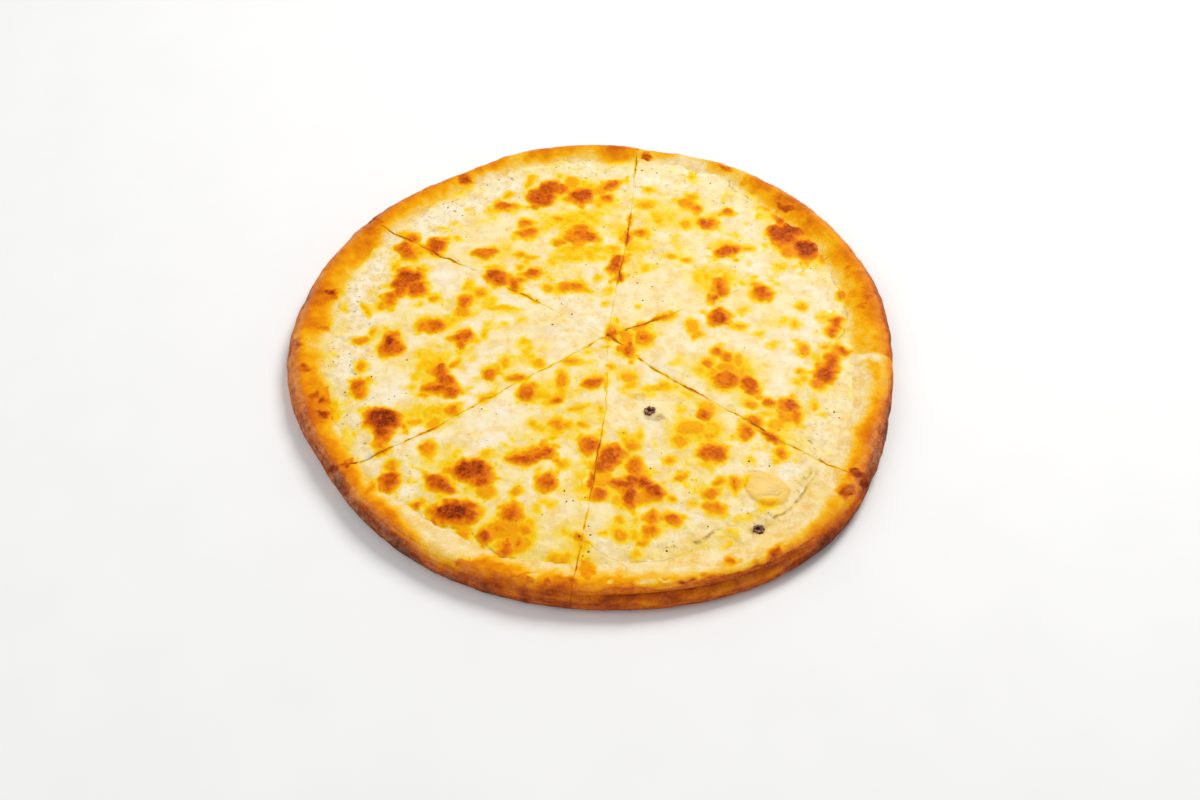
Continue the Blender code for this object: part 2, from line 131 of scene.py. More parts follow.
# Toasted spots of the cheese: middle, half length and half width in mm, turn in degrees, and how
# far each is baked, from about 0.3, a yellow pool of oil, to 1.2, nearly black.
BLISTERS = (
    # slice 2, at the back on the left
    (-26, 103.5, 6, 6, 0, 1.0), (-22, 110, 6, 4.5, 40, 1.0), (-15.5, 109.5, 3, 3.2, 0, 0.85),
    (-5, 104.5, 5, 4.2, 30, 1.08), (-11, 101, 4, 2, 0, 0.5), (-33, 116, 5.5, 2, 75, 0.46),
    (-10, 115, 4, 4, 0, 0.5), (-2, 114, 3.5, 3.5, 0, 0.38), (11.5, 112.5, 4.5, 2.2, 32, 0.88),
    (4, 108, 5, 3, 10, 0.5), (9, 103, 2.4, 2.2, 0, 0.74), (6, 100, 4, 3, 0, 0.42),
    (-18, 120.5, 2, 1.6, 0, 0.34), (-44, 104.5, 2.6, 1.6, 40, 0.5), (-47, 96, 4, 2.4, 0, 0.8),
    (-41.5, 96.5, 2, 1.8, 0, 0.6), (-50, 93, 5, 1.8, 0, 0.4), (-17, 86.5, 3, 2, -10, 0.52),
    (-24, 87.5, 2, 1.6, 0, 0.36), (-34.5, 83, 2.8, 2.4, 0, 0.74), (-33.5, 75.5, 4, 3, 20, 0.74),
    (-24, 80, 2.5, 4, 0, 0.32), (-3, 73.5, 6, 4, -10, 0.84), (-8, 73, 6, 4.5, 0, 0.66),
    (-5, 79, 3.5, 2.6, 0, 0.68), (1, 72, 3, 2.6, 0, 0.66), (-16, 68.5, 3.2, 1.8, 10, 0.6),
    (-6, 68, 4, 2, 0, 0.5), (-5, 88, 9, 5, 0, 0.36), (3, 91, 4, 3, 0, 0.36),
    (-12, 80, 4, 4, 0, 0.36), (-5, 63, 12, 3.5, 0, 0.36), (-13, 57, 8, 2.6, 10, 0.36),
    (3, 57.5, 6, 2.6, 0, 0.36), (11, 63, 5, 3.5, 0, 0.38), (4, 66, 2.6, 1.4, 20, 0.34),
    (-54, 61, 5.5, 2.4, 6, 0.76), (-44, 65, 3, 3, 0, 0.3), (-65, 93, 2.4, 1.2, 0, 0.36),
    (-72, 83, 1.8, 1, 20, 0.36), (-77, 79, 3.6, 0.9, 5, 0.38), (-69.5, 72, 1.2, 1.8, 0, 0.38),
    (-55, 86, 6, 5, 0, 0.22), (-36.5, 59.5, 2.2, 1.6, 0, 0.54), (-31, 58.5, 4, 2, 0, 0.46),
    (-33, 55, 2, 1.6, 0, 0.38), (-29.5, 47, 2.8, 2.1, -5, 0.86), (-34, 47, 2.4, 1.6, 0, 0.5),
    (-36, 51, 1.8, 1.4, 0, 0.48), (-20.5, 43, 1, 2.6, 10, 0.4), (-49, 51, 6, 2, 0, 0.36),
    (-49.5, 45.2, 3.6, 3.2, -20, 0.96), (-45.5, 41.5, 3.4, 2.4, -30, 0.94),
    (-42, 44, 3, 2.4, 0, 0.52), (-38, 38.5, 1.8, 3.8, 15, 0.86), (-35.5, 42, 2.4, 1.6, 0, 0.6),
    (-33, 31, 3, 0.7, -33, 0.5), (-27, 27.2, 3, 0.6, -25, 0.46), (-80.5, 66, 3.6, 5, 0, 1.02),
    (-80, 61.5, 3, 1.4, -25, 0.86), (-93, 71, 1.9, 1.9, 0, 0.88), (-88, 61.5, 5, 1.8, 0, 0.44),
    (-21.5, 36, 2, 2.4, 0, 0.5), (-13, 36.5, 3.4, 2.4, 0, 0.66), (-7, 37, 3.2, 2, 0, 0.76),
    (-1.5, 34.5, 3, 1.6, -25, 0.5), (-17, 33.5, 2.4, 1.8, 0, 0.4), (3.5, 43, 1.4, 2, 0, 0.4),
    (9.5, 33.5, 1.8, 2.4, 0, 0.44), (7, 25.5, 1.1, 1.1, 0, 0.4), (19, 71.5, 0.8, 4.2, 0, 0.98),
    (16.5, 77, 2, 4, 0, 0.42), (14.4, 55.5, 2.2, 3.2, 0, 1.0), (13.6, 50, 2, 3.4, 0, 1.02),
    (15.2, 43.5, 0.9, 2.4, 0, 1.0), (11, 48.5, 1.6, 4, 0, 0.5), (13.3, 13, 0.5, 1.8, 5, 0.5),
    # slice 3, on the left
    (-96.5, 64.5, 2.6, 3.4, -10, 0.88), (-94.3, 61, 3, 3, 0, 0.84), (-95, 57, 3, 1.8, 0, 0.5),
    (-102, 63, 1, 0.9, 0, 0.36), (-102, 57, 1.3, 1.6, 0, 0.34), (-100, 51.5, 1.2, 2.8, -25, 0.48),
    (-85, 51.5, 2, 1, 15, 0.38), (-92.5, 43.5, 5.4, 4, -10, 1.08), (-95.5, 39, 4.4, 4.4, 0, 1.0),
    (-87.5, 35, 4.2, 4.2, 0, 0.9), (-96, 33.5, 2.6, 3.4, -10, 0.88),
    (-100.2, 30.4, 2, 2.2, 0, 0.98), (-100, 27.5, 2.8, 3.4, -10, 0.74),
    (-105, 23.5, 1.8, 3, -10, 0.56), (-112, 21, 1.3, 4.6, 24, 0.46),
    (-78.5, 29, 2.6, 1.8, 15, 0.56), (-87, 24, 1.6, 1.6, 0, 0.38), (-108.5, 33, 1.3, 1.3, 0, 0.34),
    (-103, 38, 2.2, 1.6, 0, 0.34), (-55, 33, 2.6, 1.8, 0, 0.58), (-62.3, 37.5, 1.4, 3, -15, 0.42),
    (-62.5, 26, 2.4, 3, -30, 0.8), (-64, 20.5, 3.6, 3.6, 0, 0.52), (-58, 18.5, 2.4, 1.4, 10, 0.38),
    (-51, 26, 3.6, 4.4, 0, 0.36), (-44, 21.5, 8, 1.3, 0, 0.42), (-33.5, 14, 2, 1.6, -20, 0.38),
    (-43, 11, 1.2, 1.2, 0, 0.32), (-76, 10.5, 4, 3, 0, 0.88), (-79.5, 9.5, 5, 3.8, 0, 0.64),
    (-71, 12.5, 2, 2.2, 0, 0.44), (-62, 2.8, 3.8, 3, 20, 0.9), (-62.5, -2.5, 1.6, 2.2, 10, 0.78),
    (-67.5, 1, 3, 1.6, -10, 0.52), (-51, 6.5, 1.6, 4, 0, 0.38), (-97, -4, 5.2, 6, 0, 0.86),
    (-98, -1.5, 2.6, 3.8, -10, 1.14), (-97.5, -7, 3, 2.4, 0, 0.98), (-112, 0.5, 3.6, 2, 0, 0.62),
    (-107, 5.5, 1.6, 2.4, 0, 0.48), (-110, -17, 2.6, 2.4, 0, 0.56), (-122.5, 23, 1.2, 2.4, 0, 0.3),
    (-80, -9, 4.6, 4, 0, 0.37), (-77, -14, 6, 5, 0, 0.37), (-82.4, -21, 2, 5, 0, 0.42),
    (-71.5, -20.5, 2.4, 5, 4, 0.88), (-68.5, -27, 4.4, 3, -35, 0.92), (-73.5, -31, 4.6, 2, 5, 0.95),
    (-66, -32.5, 4, 1.8, -5, 0.97), (-79, -35, 2.6, 1.1, 0, 0.56), (-65, -15, 1.6, 3.4, -25, 0.56),
    (-60, -8, 3, 3, 0, 0.36), (-57, -12, 2, 1.6, 0, 0.38), (-48, -21.5, 2.7, 3.2, 0, 0.68),
    (-110, -29, 2.4, 2.8, 0, 0.88), (-109, -33, 3, 3, 0, 0.68), (-96, -50, 6.4, 6, 0, 1.24),
    (-96, -57.5, 3, 3.2, 0, 1.05), (-97, -63.5, 2, 3, 5, 0.66), (-94.5, -68.4, 2.4, 1, 30, 0.78),
    (-104, -46, 2, 2, 0, 0.44), (-79, -45, 10, 2, 0, 0.36), (-82, -51, 4, 1.8, -10, 0.5),
    (-72, -46, 7, 4, -5, 0.4), (-64, -44, 2.8, 2.8, 0, 0.64), (-72, -51.5, 4, 2.4, 25, 0.46),
    (-86, -30, 2.4, 1.4, 0, 0.36), (-24.5, -15, 2.4, 3, 0, 0.5), (-32, -3.5, 2.6, 5, 12, 0.38),
    (-29, -10, 3, 2.2, -30, 0.38), (-40.5, -15, 1.5, 2.4, -15, 0.5), (-36, -11, 2.4, 1, 0, 0.36),
    (-35, -24.5, 3.2, 1.4, 10, 0.74), (-49, -36.8, 2.6, 0.8, 28, 0.6),
    (-9, -13.2, 2.8, 1.1, 5, 0.62), (-2, -7, 1.8, 0.8, 20, 0.36),
    # slice 4, at the front on the left
    (-13.5, -25, 2.4, 4.4, -10, 0.58), (-14, -33, 2.2, 4, 0, 0.42), (-15.5, -37.5, 2, 2, 0, 0.72),
    (-30, -34, 4, 3.4, 15, 0.74), (-27, -30, 2.4, 2.4, 0, 0.56), (-22, -35, 5, 1.8, 0, 0.42),
    (1.5, -28, 4.2, 2, 8, 0.84), (-5, -31.5, 3, 1.1, 0, 0.36), (-6, -43, 6, 1.3, 22, 0.4),
    (5, -43, 1.1, 2, 0, 0.46), (8, -27, 0.8, 7, 3, 0.34), (-15, -52.5, 2.4, 2.2, 0, 0.62),
    (-11, -52.5, 2.4, 1.9, 0, 0.52), (-4, -53, 2.4, 1.6, 0, 0.52), (-26, -52, 2, 2, 0, 0.38),
    (-22, -55, 3, 2, 0, 0.38), (-15, -57, 2.4, 1.6, 0, 0.44), (-17, -60.5, 2.4, 1.4, 0, 0.4),
    (-34.5, -61, 0.9, 1.5, 0, 0.36), (-39, -65.5, 1.4, 0.8, 0, 0.34),
    (-26, -66.5, 3.4, 1.5, 0, 0.42), (-34, -69, 2, 1.4, 0, 0.44), (-28, -71.8, 8, 2.3, 12, 0.92),
    (-19.5, -69.5, 2.5, 2.5, 0, 1.0), (-0.8, -65, 3.4, 4.4, 0, 0.74), (1.2, -65, 1.5, 3, 0, 0.9),
    (-74, -66.5, 3.6, 2.5, 0, 0.62), (-74, -71, 1.5, 1.5, 0, 0.44), (-65, -76, 3.4, 4.4, 0, 0.35),
    (-62, -69, 4, 2.4, 0, 0.28), (-90, -76.5, 2.3, 3, -5, 0.6), (-89.5, -84.7, 3.1, 3.9, 0, 1.05),
    (-67, -87, 6.8, 2.5, -38, 0.98), (-53, -79, 6.4, 4.8, 0, 1.12),
    (-48.5, -84, 3.4, 4.4, -10, 0.94), (-46, -91.5, 4.4, 3.6, -10, 0.52),
    (-47, -70.5, 2.4, 2.2, 0, 0.44), (-76, -97, 3.2, 1.7, 0, 0.5), (-76, -97.4, 1.2, 1.2, 0, 0.78),
    (-66, -95, 1.5, 2.2, 0, 0.36), (-60.5, -102.6, 6.4, 4.2, 5, 1.24),
    (-69.5, -102.5, 2.4, 1.4, 0, 0.66), (-54, -99, 2.4, 2, 0, 1.04), (-53, -104, 2.4, 3.4, 0, 1.02),
    (-59, -107.5, 3, 1.8, 0, 0.9), (-55, -112, 3, 3, 0, 0.5), (-45.5, -115, 2.3, 2.6, -20, 1.0),
    (-48.5, -103, 1.8, 2.6, 0, 0.5), (-34, -102.8, 3.1, 3.6, 0, 0.82), (-37, -111, 8, 5.5, 0, 0.5),
    (-33, -119, 7.5, 4.4, 0, 0.46), (-26, -113, 3, 7, 0, 0.38), (-36, -121, 1.7, 3.8, 0, 0.82),
    (-30.5, -118.5, 1.5, 1.8, 0, 0.62), (-39, -110.5, 2.4, 2, 0, 0.62),
    (-28, -112.2, 2.2, 2.6, 0, 0.58), (-12, -75.5, 1.6, 1.6, 0, 0.54),
    (-18.8, -86, 3.2, 3.1, 0, 0.92), (-22.5, -83.5, 1.8, 2.4, 0, 0.46),
    (-32.5, -91.5, 2.3, 2.5, 0, 0.54), (-22, -79, 0.9, 1.1, 0, 0.36), (-18, -98.5, 3, 2.4, 0, 0.37),
    (-23, -102, 2.4, 2.4, 0, 0.34), (0.9, -85.4, 1, 4.6, -3, 0.92), (-4, -82, 2.4, 2.4, 0, 0.37),
    (-1.4, -88.5, 1.2, 3.4, -5, 0.44), (-11, -113, 1.3, 1.2, 0, 0.44),
    (-7.4, -114.4, 2.4, 1.1, -20, 0.44), (-4.2, -115.6, 0.6, 0.8, 0, 0.9),
    (-12, -127, 5, 3, 10, 0.4), (-3.6, -121, 0.8, 5, -3, 0.42),
    # slice 5, at the front on the right
    (10, -16, 2, 2, 0, 0.48), (19, -9.5, 4, 1.6, -25, 0.44), (18.5, -23.5, 3.6, 2.6, 0, 0.5),
    (20, -28.5, 3, 2, 0, 0.44), (27, -31, 3, 1.8, 0, 0.4), (36, -30, 7, 2.2, 0, 0.42),
    (46, -34, 2.4, 2.2, 0, 0.38), (43, -44, 1.4, 4, 0, 0.36), (5.8, -58, 1.2, 2, 0, 0.4),
    (8.8, -71.5, 4.3, 4, 0, 0.96), (6.4, -76.5, 3, 3, 0, 0.95), (12, -69, 3, 3.2, 0, 0.8),
    (8, -83, 3.6, 3, 0, 0.46), (19.5, -65, 2.4, 2, 0, 0.58), (20, -62, 4, 4, 0, 0.4),
    (16, -58, 2, 1, 0, 0.36), (4.6, -93, 3.2, 2, -28, 0.82), (5.4, -87, 3, 2.2, 0, 0.52),
    (21.2, -77, 2.8, 4.6, 5, 0.76), (14.5, -87, 4.2, 1.8, -8, 0.92), (20, -85.5, 2.6, 3, 0, 0.94),
    (24.5, -87.2, 3.2, 2.3, -20, 1.04), (28.8, -91.4, 3.6, 2.4, -20, 1.14),
    (18.4, -93.5, 2.2, 4.6, 0, 1.02), (24, -95.5, 4, 3, 0, 0.58), (12.5, -95, 2.4, 3, 0, 0.42),
    (36.5, -95.5, 2.2, 1.3, 0, 0.52), (37.5, -73, 1.9, 2.2, 0, 0.54), (42, -82.5, 2, 1.3, 20, 0.64),
    (30.5, -65, 1.2, 1.6, 0, 0.34), (47, -55, 7, 4, 10, 0.46), (56, -56, 5, 5, 0, 0.44),
    (42, -62.5, 3.6, 3.4, 0, 0.48), (52, -61, 5, 3, 0, 0.38), (53.6, -46.8, 2.4, 2.3, 0, 0.92),
    (55, -43, 5, 3, 20, 0.44), (55.5, -69.5, 4.4, 4, 0, 0.8), (58.5, -70.5, 3.2, 3.6, 0, 0.88),
    (53, -77, 3.6, 2.6, 0, 0.38), (72, -58, 2.5, 4.2, -8, 0.66), (73.2, -57.5, 1.4, 2.6, -10, 0.84),
    (88, -70, 2.6, 2.6, 0, 0.6), (88.2, -69.4, 1.3, 1.3, 0, 0.86),
    (72.5, -73.5, 0.6, 1.4, -15, 0.4), (77, -67.5, 2.4, 0.8, 0, 0.3),
    (83.6, -59.3, 4.6, 1, -36, 1.1), (58.5, -86, 2.3, 1.3, 40, 0.58), (65, -87.5, 1.3, 2.8, 0, 0.7),
    (55, -93, 2.6, 2.7, 0, 0.66), (55.5, -100, 4.4, 2.4, 0, 0.64), (46.5, -98, 1.6, 1.3, 0, 0.46),
    (66.5, -105, 2, 1.1, 0, 0.38), (14, -106.5, 2, 2.4, 0, 0.46), (14.5, -115, 2.7, 2.8, 0, 0.54),
    (6.5, -114.6, 1.5, 1, 0, 0.48), (28.5, -105.5, 2.3, 3.4, 0, 0.7),
    (26.5, -112, 2.2, 2.2, -25, 0.74), (20.5, -104, 1.2, 5, 5, 0.38),
    (33.5, -106, 2.4, 1.6, 0, 0.5), (37.5, -106.5, 2.8, 2.7, 0, 0.74),
    (41.5, -105, 1.6, 1.2, 0, 0.5), (23, -118.5, 2.3, 1, 25, 0.58), (20, -114.5, 1.5, 2.4, 0, 0.44),
    (22, -124.4, 1.2, 1.2, 0, 0.42), (-1.2, -131, 2.4, 4, 0, 0.48), (61.5, -129, 1.4, 1.6, 0, 0.7),
    (71.5, -128.4, 1.1, 0.9, 0, 0.74), (77.5, -121.5, 2.6, 2.2, 0, 0.46), (62, -121, 1, 4, 0, 0.34),
    (71.2, -85.2, 1.2, 3.6, -28, 0.38), (79.4, -97.2, 4.2, 1.9, -8, 0.4),
    # slice 6, on the right
    (18.8, -4.6, 1.9, 4, -5, 0.8), (18.4, -7.6, 1, 1.3, 0, 0.98), (18, 2, 3.2, 4, 0, 0.54),
    (26.6, 2.6, 2.3, 2.2, 0, 0.8), (26, 0, 3.6, 3.4, 0, 0.54), (50.5, 9.5, 2.8, 4, 0, 0.48),
    (52.5, 4, 3, 3.2, 0, 0.48), (43, -13, 2.2, 2.2, 0, 0.38), (64, 15.6, 4, 4, 0, 1.02),
    (75.5, 21, 2.8, 1.5, 20, 0.4), (86.6, 32, 3.2, 3.6, 0, 0.88), (86, 31, 5.4, 5, 0, 0.48),
    (80, 37.6, 3, 1.4, -20, 0.38), (83.5, 42, 4, 0.6, 35, 0.34), (92, 40, 2, 0.7, 5, 0.3),
    (96.5, 12, 2.8, 1.3, 20, 0.38), (101.6, 10.5, 1.2, 2.4, 0, 0.48), (75, 9.5, 3, 1.9, 15, 0.54),
    (83, 5, 2, 1.3, 10, 0.36), (117, 15.2, 2, 1.4, -20, 0.44), (122.6, 12, 1.6, 3, -22, 0.92),
    (119.6, 6.4, 1.9, 3.3, -20, 0.78), (121, -1.5, 1.4, 2.4, 0, 0.42), (115, -4, 1.8, 1.4, 0, 0.52),
    (89.5, -2.5, 1.4, 1.4, 0, 0.38), (104.4, -6.6, 1.7, 2.8, 5, 0.64),
    (110, -12, 2.2, 3, -20, 0.42), (123, -6, 2.8, 1.7, -15, 0.86), (61.5, -6.6, 1.9, 2.1, 0, 0.78),
    (57.5, -14.8, 2.4, 2, 0, 0.62), (66.4, -10.5, 2.2, 2.8, 0, 0.64),
    (72.5, -12.5, 2.2, 4, 0, 0.46), (57, -20, 5.5, 3, 0, 0.42), (66, -17, 5, 3, 0, 0.5),
    (74, -20.5, 5, 3, -10, 0.44), (66, -25.4, 4.5, 4.8, 0, 0.8), (75.8, -27.5, 3.4, 4.2, 12, 0.94),
    (77, -33, 2.4, 2.6, 15, 0.8), (64.5, -32, 3, 1.6, 0, 0.44), (81, -37, 1.8, 1.5, 0, 0.5),
    (113.2, -22, 4, 4.6, -30, 1.06), (117, -15.4, 2.6, 4.4, -25, 0.86),
    (118.4, -11.6, 2, 1.9, 0, 0.92), (109, -28, 2.6, 2.7, -30, 0.68), (101.5, -20, 2, 2, 0, 0.54),
    (103.5, -26, 1.5, 2, 0, 0.42), (99, -27.5, 1.4, 1.2, 0, 0.46), (94.6, -41, 3, 3.4, 0, 0.94),
    (97, -48, 1.3, 3.4, 8, 0.76), (92.5, -48.6, 3.8, 3, 0, 0.54), (87, -52.5, 4.4, 3, 0, 0.46),
    (96.6, -36, 1.1, 2, -20, 0.48), (84.6, -40, 3, 1.3, 10, 0.76), (75.5, -41, 2.9, 2.4, 0, 0.52),
    (83, -46.5, 2.4, 1.4, 0, 0.44), (105.6, -42, 1.6, 2.3, 0, 0.48),
    (110, -46.5, 1.8, 1.4, 0, 0.42), (106, -38, 1.6, 1.2, 0, 0.38), (137, -24, 2, 5, 0, 0.44),
    (77.5, -51, 3, 1.9, -38, 0.72),
    # slice 1, at the back on the right
    (21, 85.5, 0.9, 4.4, -5, 0.72), (26.2, 76.4, 2.4, 1.6, 0, 0.74), (24.5, 75, 4, 3, 0, 0.44),
    (21.5, 66, 3, 4, 0, 0.38), (26, 70.5, 2, 3.4, 0, 0.38), (29.6, 97.5, 5, 2.6, 0, 0.42),
    (23, 103, 0.9, 3, 0, 0.34), (32.6, 109.4, 4, 1, -27, 0.42), (35, 88, 2.8, 5, 12, 0.42),
    (42, 87, 1.2, 3, -10, 0.36), (49.5, 83, 2.4, 3.2, 0, 0.5), (54.4, 104.4, 2.8, 2.8, 0, 0.52),
    (51.4, 98.4, 5, 3.8, -30, 0.56), (57, 93.6, 2.2, 2.4, -30, 0.68), (47, 102, 1.6, 1.4, 0, 0.44),
    (45, 73.4, 1.7, 1.2, 0, 0.36), (46, 65.6, 1.1, 2, 0, 0.4), (61.4, 83.2, 3.6, 2.8, -15, 0.92),
    (64, 80, 3.6, 2.4, -30, 0.46), (72.4, 92.4, 2.4, 1.5, 25, 0.8), (70, 90.6, 3, 1.4, 15, 0.52),
    (99, 74.6, 4.6, 6.2, 14, 1.04), (105.2, 78.6, 4, 3.8, -35, 1.08),
    (103.6, 71.4, 4, 2.8, -25, 1.04), (100, 84.4, 1.6, 2, 0, 0.8), (112, 63.6, 4.8, 5.2, -10, 1.22),
    (109.5, 66.5, 2.6, 2.6, 0, 1.1), (103, 63, 3.8, 4.2, 0, 0.58), (97.6, 68, 2, 4, 20, 0.64),
    (119.4, 56.5, 1.4, 3, 0, 0.44), (70.4, 62, 5.8, 3.2, 14, 0.94), (81, 64.6, 2.8, 1.6, 5, 0.5),
    (65.4, 67.4, 2.4, 1.4, 0, 0.38), (76, 74, 2, 1.9, 0, 0.37), (82, 83, 1.1, 1.5, 0, 0.36),
    (91, 65, 1.6, 2.4, 0, 0.3), (89, 88.5, 0.9, 2.8, -20, 0.42), (93.4, 94, 1.3, 2.8, -15, 0.44),
    (72, 105, 0.8, 4, -10, 0.3), (55.2, 120, 0.9, 2, 0, 0.42), (24.6, 55.8, 1.1, 1.3, 0, 0.4),
    (28, 50.4, 2.9, 2.4, 0, 0.38), (42, 57.8, 2.2, 1.6, 0, 0.5), (49, 55.5, 1.8, 1.9, 0, 0.54),
    (65.2, 38, 2.2, 5, 5, 0.78), (65.6, 33.4, 2, 3.4, 5, 0.9), (62.4, 29, 0.7, 0.8, 0, 0.96),
    (57.5, 43.5, 3.6, 4, 0, 0.36), (62, 47, 4, 2, 0, 0.36), (69.5, 42, 3.4, 4, 0, 0.38),
    (23.5, 23, 1.5, 1, 0, 0.32), (97, 52, 2.4, 1.8, -35, 0.44), (104.8, 51.5, 0.9, 0.9, 0, 0.46),
    (108, 45.5, 1.6, 1.6, 0, 0.28), (106, 23.2, 2.6, 2.1, 0, 0.5), (127, 31, 1.8, 3.4, -10, 0.38),
    (36, 15.3, 4.4, 1, 14, 0.82), (26, 10.4, 4, 0.8, 30, 0.66), (41, 17, 1.2, 1.2, 0, 0.6),
    (10.2, 3.2, 1.3, 0.9, 35, 1.0), (8, 1.2, 2, 0.7, 15, 0.56), (16, 5, 3, 3, 0, 0.42),
)

# Broad yellow stretches where oil lies on the cheese: middle, half sizes, turn, strength.
POOLS = (
    (-4, 84, 24, 12, -5, 0.9), (-2, 60, 22, 7, 0, 1.0), (10, 92, 12, 20, 0, 0.7),
    (-14, 48, 16, 8, -20, 0.5), (-50, 60, 18, 10, 10, 0.45), (-22, 104, 18, 9, 0, 0.6),
    (-48, 96, 9, 6, 0, 0.4), (-84, 62, 12, 9, 0, 0.4), (-95, 40, 13, 16, 0, 0.6),
    (-60, 28, 12, 12, 0, 0.6), (-44, 20, 14, 4, 0, 0.6), (-75, 10, 12, 8, 0, 0.45),
    (-100, 2, 12, 14, 0, 0.55), (-76, -16, 11, 20, 0, 0.95), (-76, -46, 20, 9, 0, 0.95),
    (-96, -52, 11, 13, 0, 0.5), (-62, -4, 8, 9, 0, 0.5), (-28, -8, 9, 14, -30, 0.5),
    (-46, -24, 12, 9, 0, 0.45), (-110, -28, 7, 9, 0, 0.4), (-18, -34, 16, 14, 0, 0.75),
    (2, -26, 9, 8, 0, 0.6), (-22, -56, 16, 8, 10, 0.55), (-30, -70, 16, 7, 10, 0.6),
    (-2, -60, 12, 24, 0, 0.75), (-62, -76, 15, 12, 0, 0.6), (-72, -68, 10, 7, 0, 0.4),
    (-90, -82, 7, 10, 0, 0.5), (-62, -102, 17, 8, 0, 0.65), (-36, -112, 18, 12, 0, 1.0),
    (-50, -90, 12, 8, 0, 0.6), (-10, -84, 14, 14, 0, 0.55), (-8, -118, 14, 14, 0, 0.6),
    (0, -134, 16, 8, 0, 0.5), (14, -82, 14, 18, 0, 0.8), (22, -64, 9, 9, 0, 0.5),
    (18, -24, 10, 9, 0, 0.55), (36, -32, 18, 6, 0, 0.6), (50, -56, 18, 11, 8, 1.0),
    (58, -72, 12, 9, 0, 0.7), (54, -96, 12, 9, 0, 0.5), (30, -108, 18, 7, 0, 0.5),
    (14, -112, 8, 8, 0, 0.45), (76, -58, 12, 11, 0, 0.5), (80, -90, 14, 12, 20, 0.4),
    (66, -20, 20, 16, -20, 0.95), (22, 0, 9, 12, 0, 0.6), (52, 6, 7, 9, 0, 0.5),
    (92, -46, 13, 11, 0, 0.55), (113, -19, 9, 12, -25, 0.5), (122, 8, 7, 10, -20, 0.5),
    (64, 42, 15, 12, 0, 0.95), (66, 16, 9, 8, 0, 0.4), (86, 32, 9, 8, 0, 0.5),
    (104, 72, 15, 16, 0, 0.6), (112, 58, 10, 9, 0, 0.5), (70, 62, 12, 8, 10, 0.45),
    (62, 84, 16, 10, 0, 0.55), (36, 92, 14, 16, 0, 0.65), (26, 70, 11, 12, 0, 0.7),
    (54, 100, 12, 10, -20, 0.7), (22, 54, 8, 14, 0, 0.45), (46, 60, 12, 9, 0, 0.4),
    (94, 12, 14, 6, 10, 0.4), (-118, -42, 8, 11, 20, 1.0), (-125, -12, 4, 8, 0, 0.7),
    (-122, 8, 4, 8, 0, 0.6), (-112, -58, 5, 7, 30, 0.7), (98, -84, 9, 7, 40, 0.25),
    (92, -66, 20, 13, -33, 0.55), (48, -84, 55, 45, -30, 0.14), (74, -40, 10, 7, 0, 0.5),
    (88, -68, 7, 7, 0, 0.4), (44, -84, 9, 9, 0, 0.3), (96, 88, 10, 12, 0, 0.35),
)


def hex_colour(text):
    """A colour written as sRGB hex, as the linear values that a shader takes."""
    parts = [int(text[k:k + 2], 16) / 255 for k in (0, 2, 4)]
    return (*(c / 12.92 if c <= 0.04045 else ((c + 0.055) / 1.055) ** 2.4 for c in parts), 1)


# ---------------------------------------------------------------- the form of the dough, in mm

LATTICE = 256  # cells along a side of the noise before it repeats


def smooth(before, here, after, beyond, t):
    """A smooth way from here to after as t goes from 0 to 1, that heeds the values beside them."""
    slope_here, slope_after = (after - before) / 2, (beyond - here) / 2
    return ((2 * t**3 - 3 * t**2 + 1) * here + (t**3 - 2 * t**2 + t) * slope_here
            + (3 * t**2 - 2 * t**3) * after + (t**3 - t**2) * slope_after)


def around(values, angle):
    """A smooth closed curve through values, which are spaced evenly round the circle."""
    values = np.asarray(values, float)
    place = np.degrees(angle) % 360 / 360 * len(values)
    first = place.astype(int)
    return smooth(*(values[(first + k) % len(values)] for k in (-1, 0, 1, 2)), place - first)


def along(values, share):
    """A smooth open curve through values, which are spaced evenly from share 0 to 1."""
    values = np.asarray(values, float)
    last = len(values) - 1
    place = np.clip(share, 0, 1) * last
    first = np.minimum(place.astype(int), last - 1)
    return smooth(*(values[np.clip(first + k, 0, last)] for k in (-1, 0, 1, 2)), place - first)


def ease(t):
    """0 below 0 and 1 above 1, with a soft rise between."""
    t = np.clip(t, 0, 1)
    return t * t * (3 - 2 * t)


def by_angle(table, degrees):
    """A value that changes round the pizza, from a table of angles and values."""
    return np.interp(degrees, *zip(*table), period=360)


def oval(dx, dy, length, width, turn=0):
    """How far out in an oval a point lies, given from its middle: 0 there and 1 on the edge."""
    c, s = math.cos(math.radians(turn)), math.sin(math.radians(turn))
    return np.hypot((dx * c + dy * s) / length, (dy * c - dx * s) / width)


def lattice(x, y, size, seed):
    """Smooth noise from -1 to 1, whose bumps are about size mm across."""
    table = np.random.default_rng(seed).uniform(-1, 1, (LATTICE, LATTICE))
    u, v = x / size, y / size
    i, j = np.floor(u).astype(int), np.floor(v).astype(int)
    s, t = u - i, v - j
    s, t = s * s * s * (s * (s * 6 - 15) + 10), t * t * t * (t * (t * 6 - 15) + 10)
    i, next_i, j, next_j = i % LATTICE, (i + 1) % LATTICE, j % LATTICE, (j + 1) % LATTICE
    near = table[i, j] * (1 - s) + table[next_i, j] * s
    far = table[i, next_j] * (1 - s) + table[next_i, next_j] * s
    return near * (1 - t) + far * t


def bumps(x, y, *layers):
    """Layers of noise added up, each by its strength, the size of its bumps in mm, and its seed."""
    return sum(strength * lattice(x, y, size, seed) for strength, size, seed in layers)


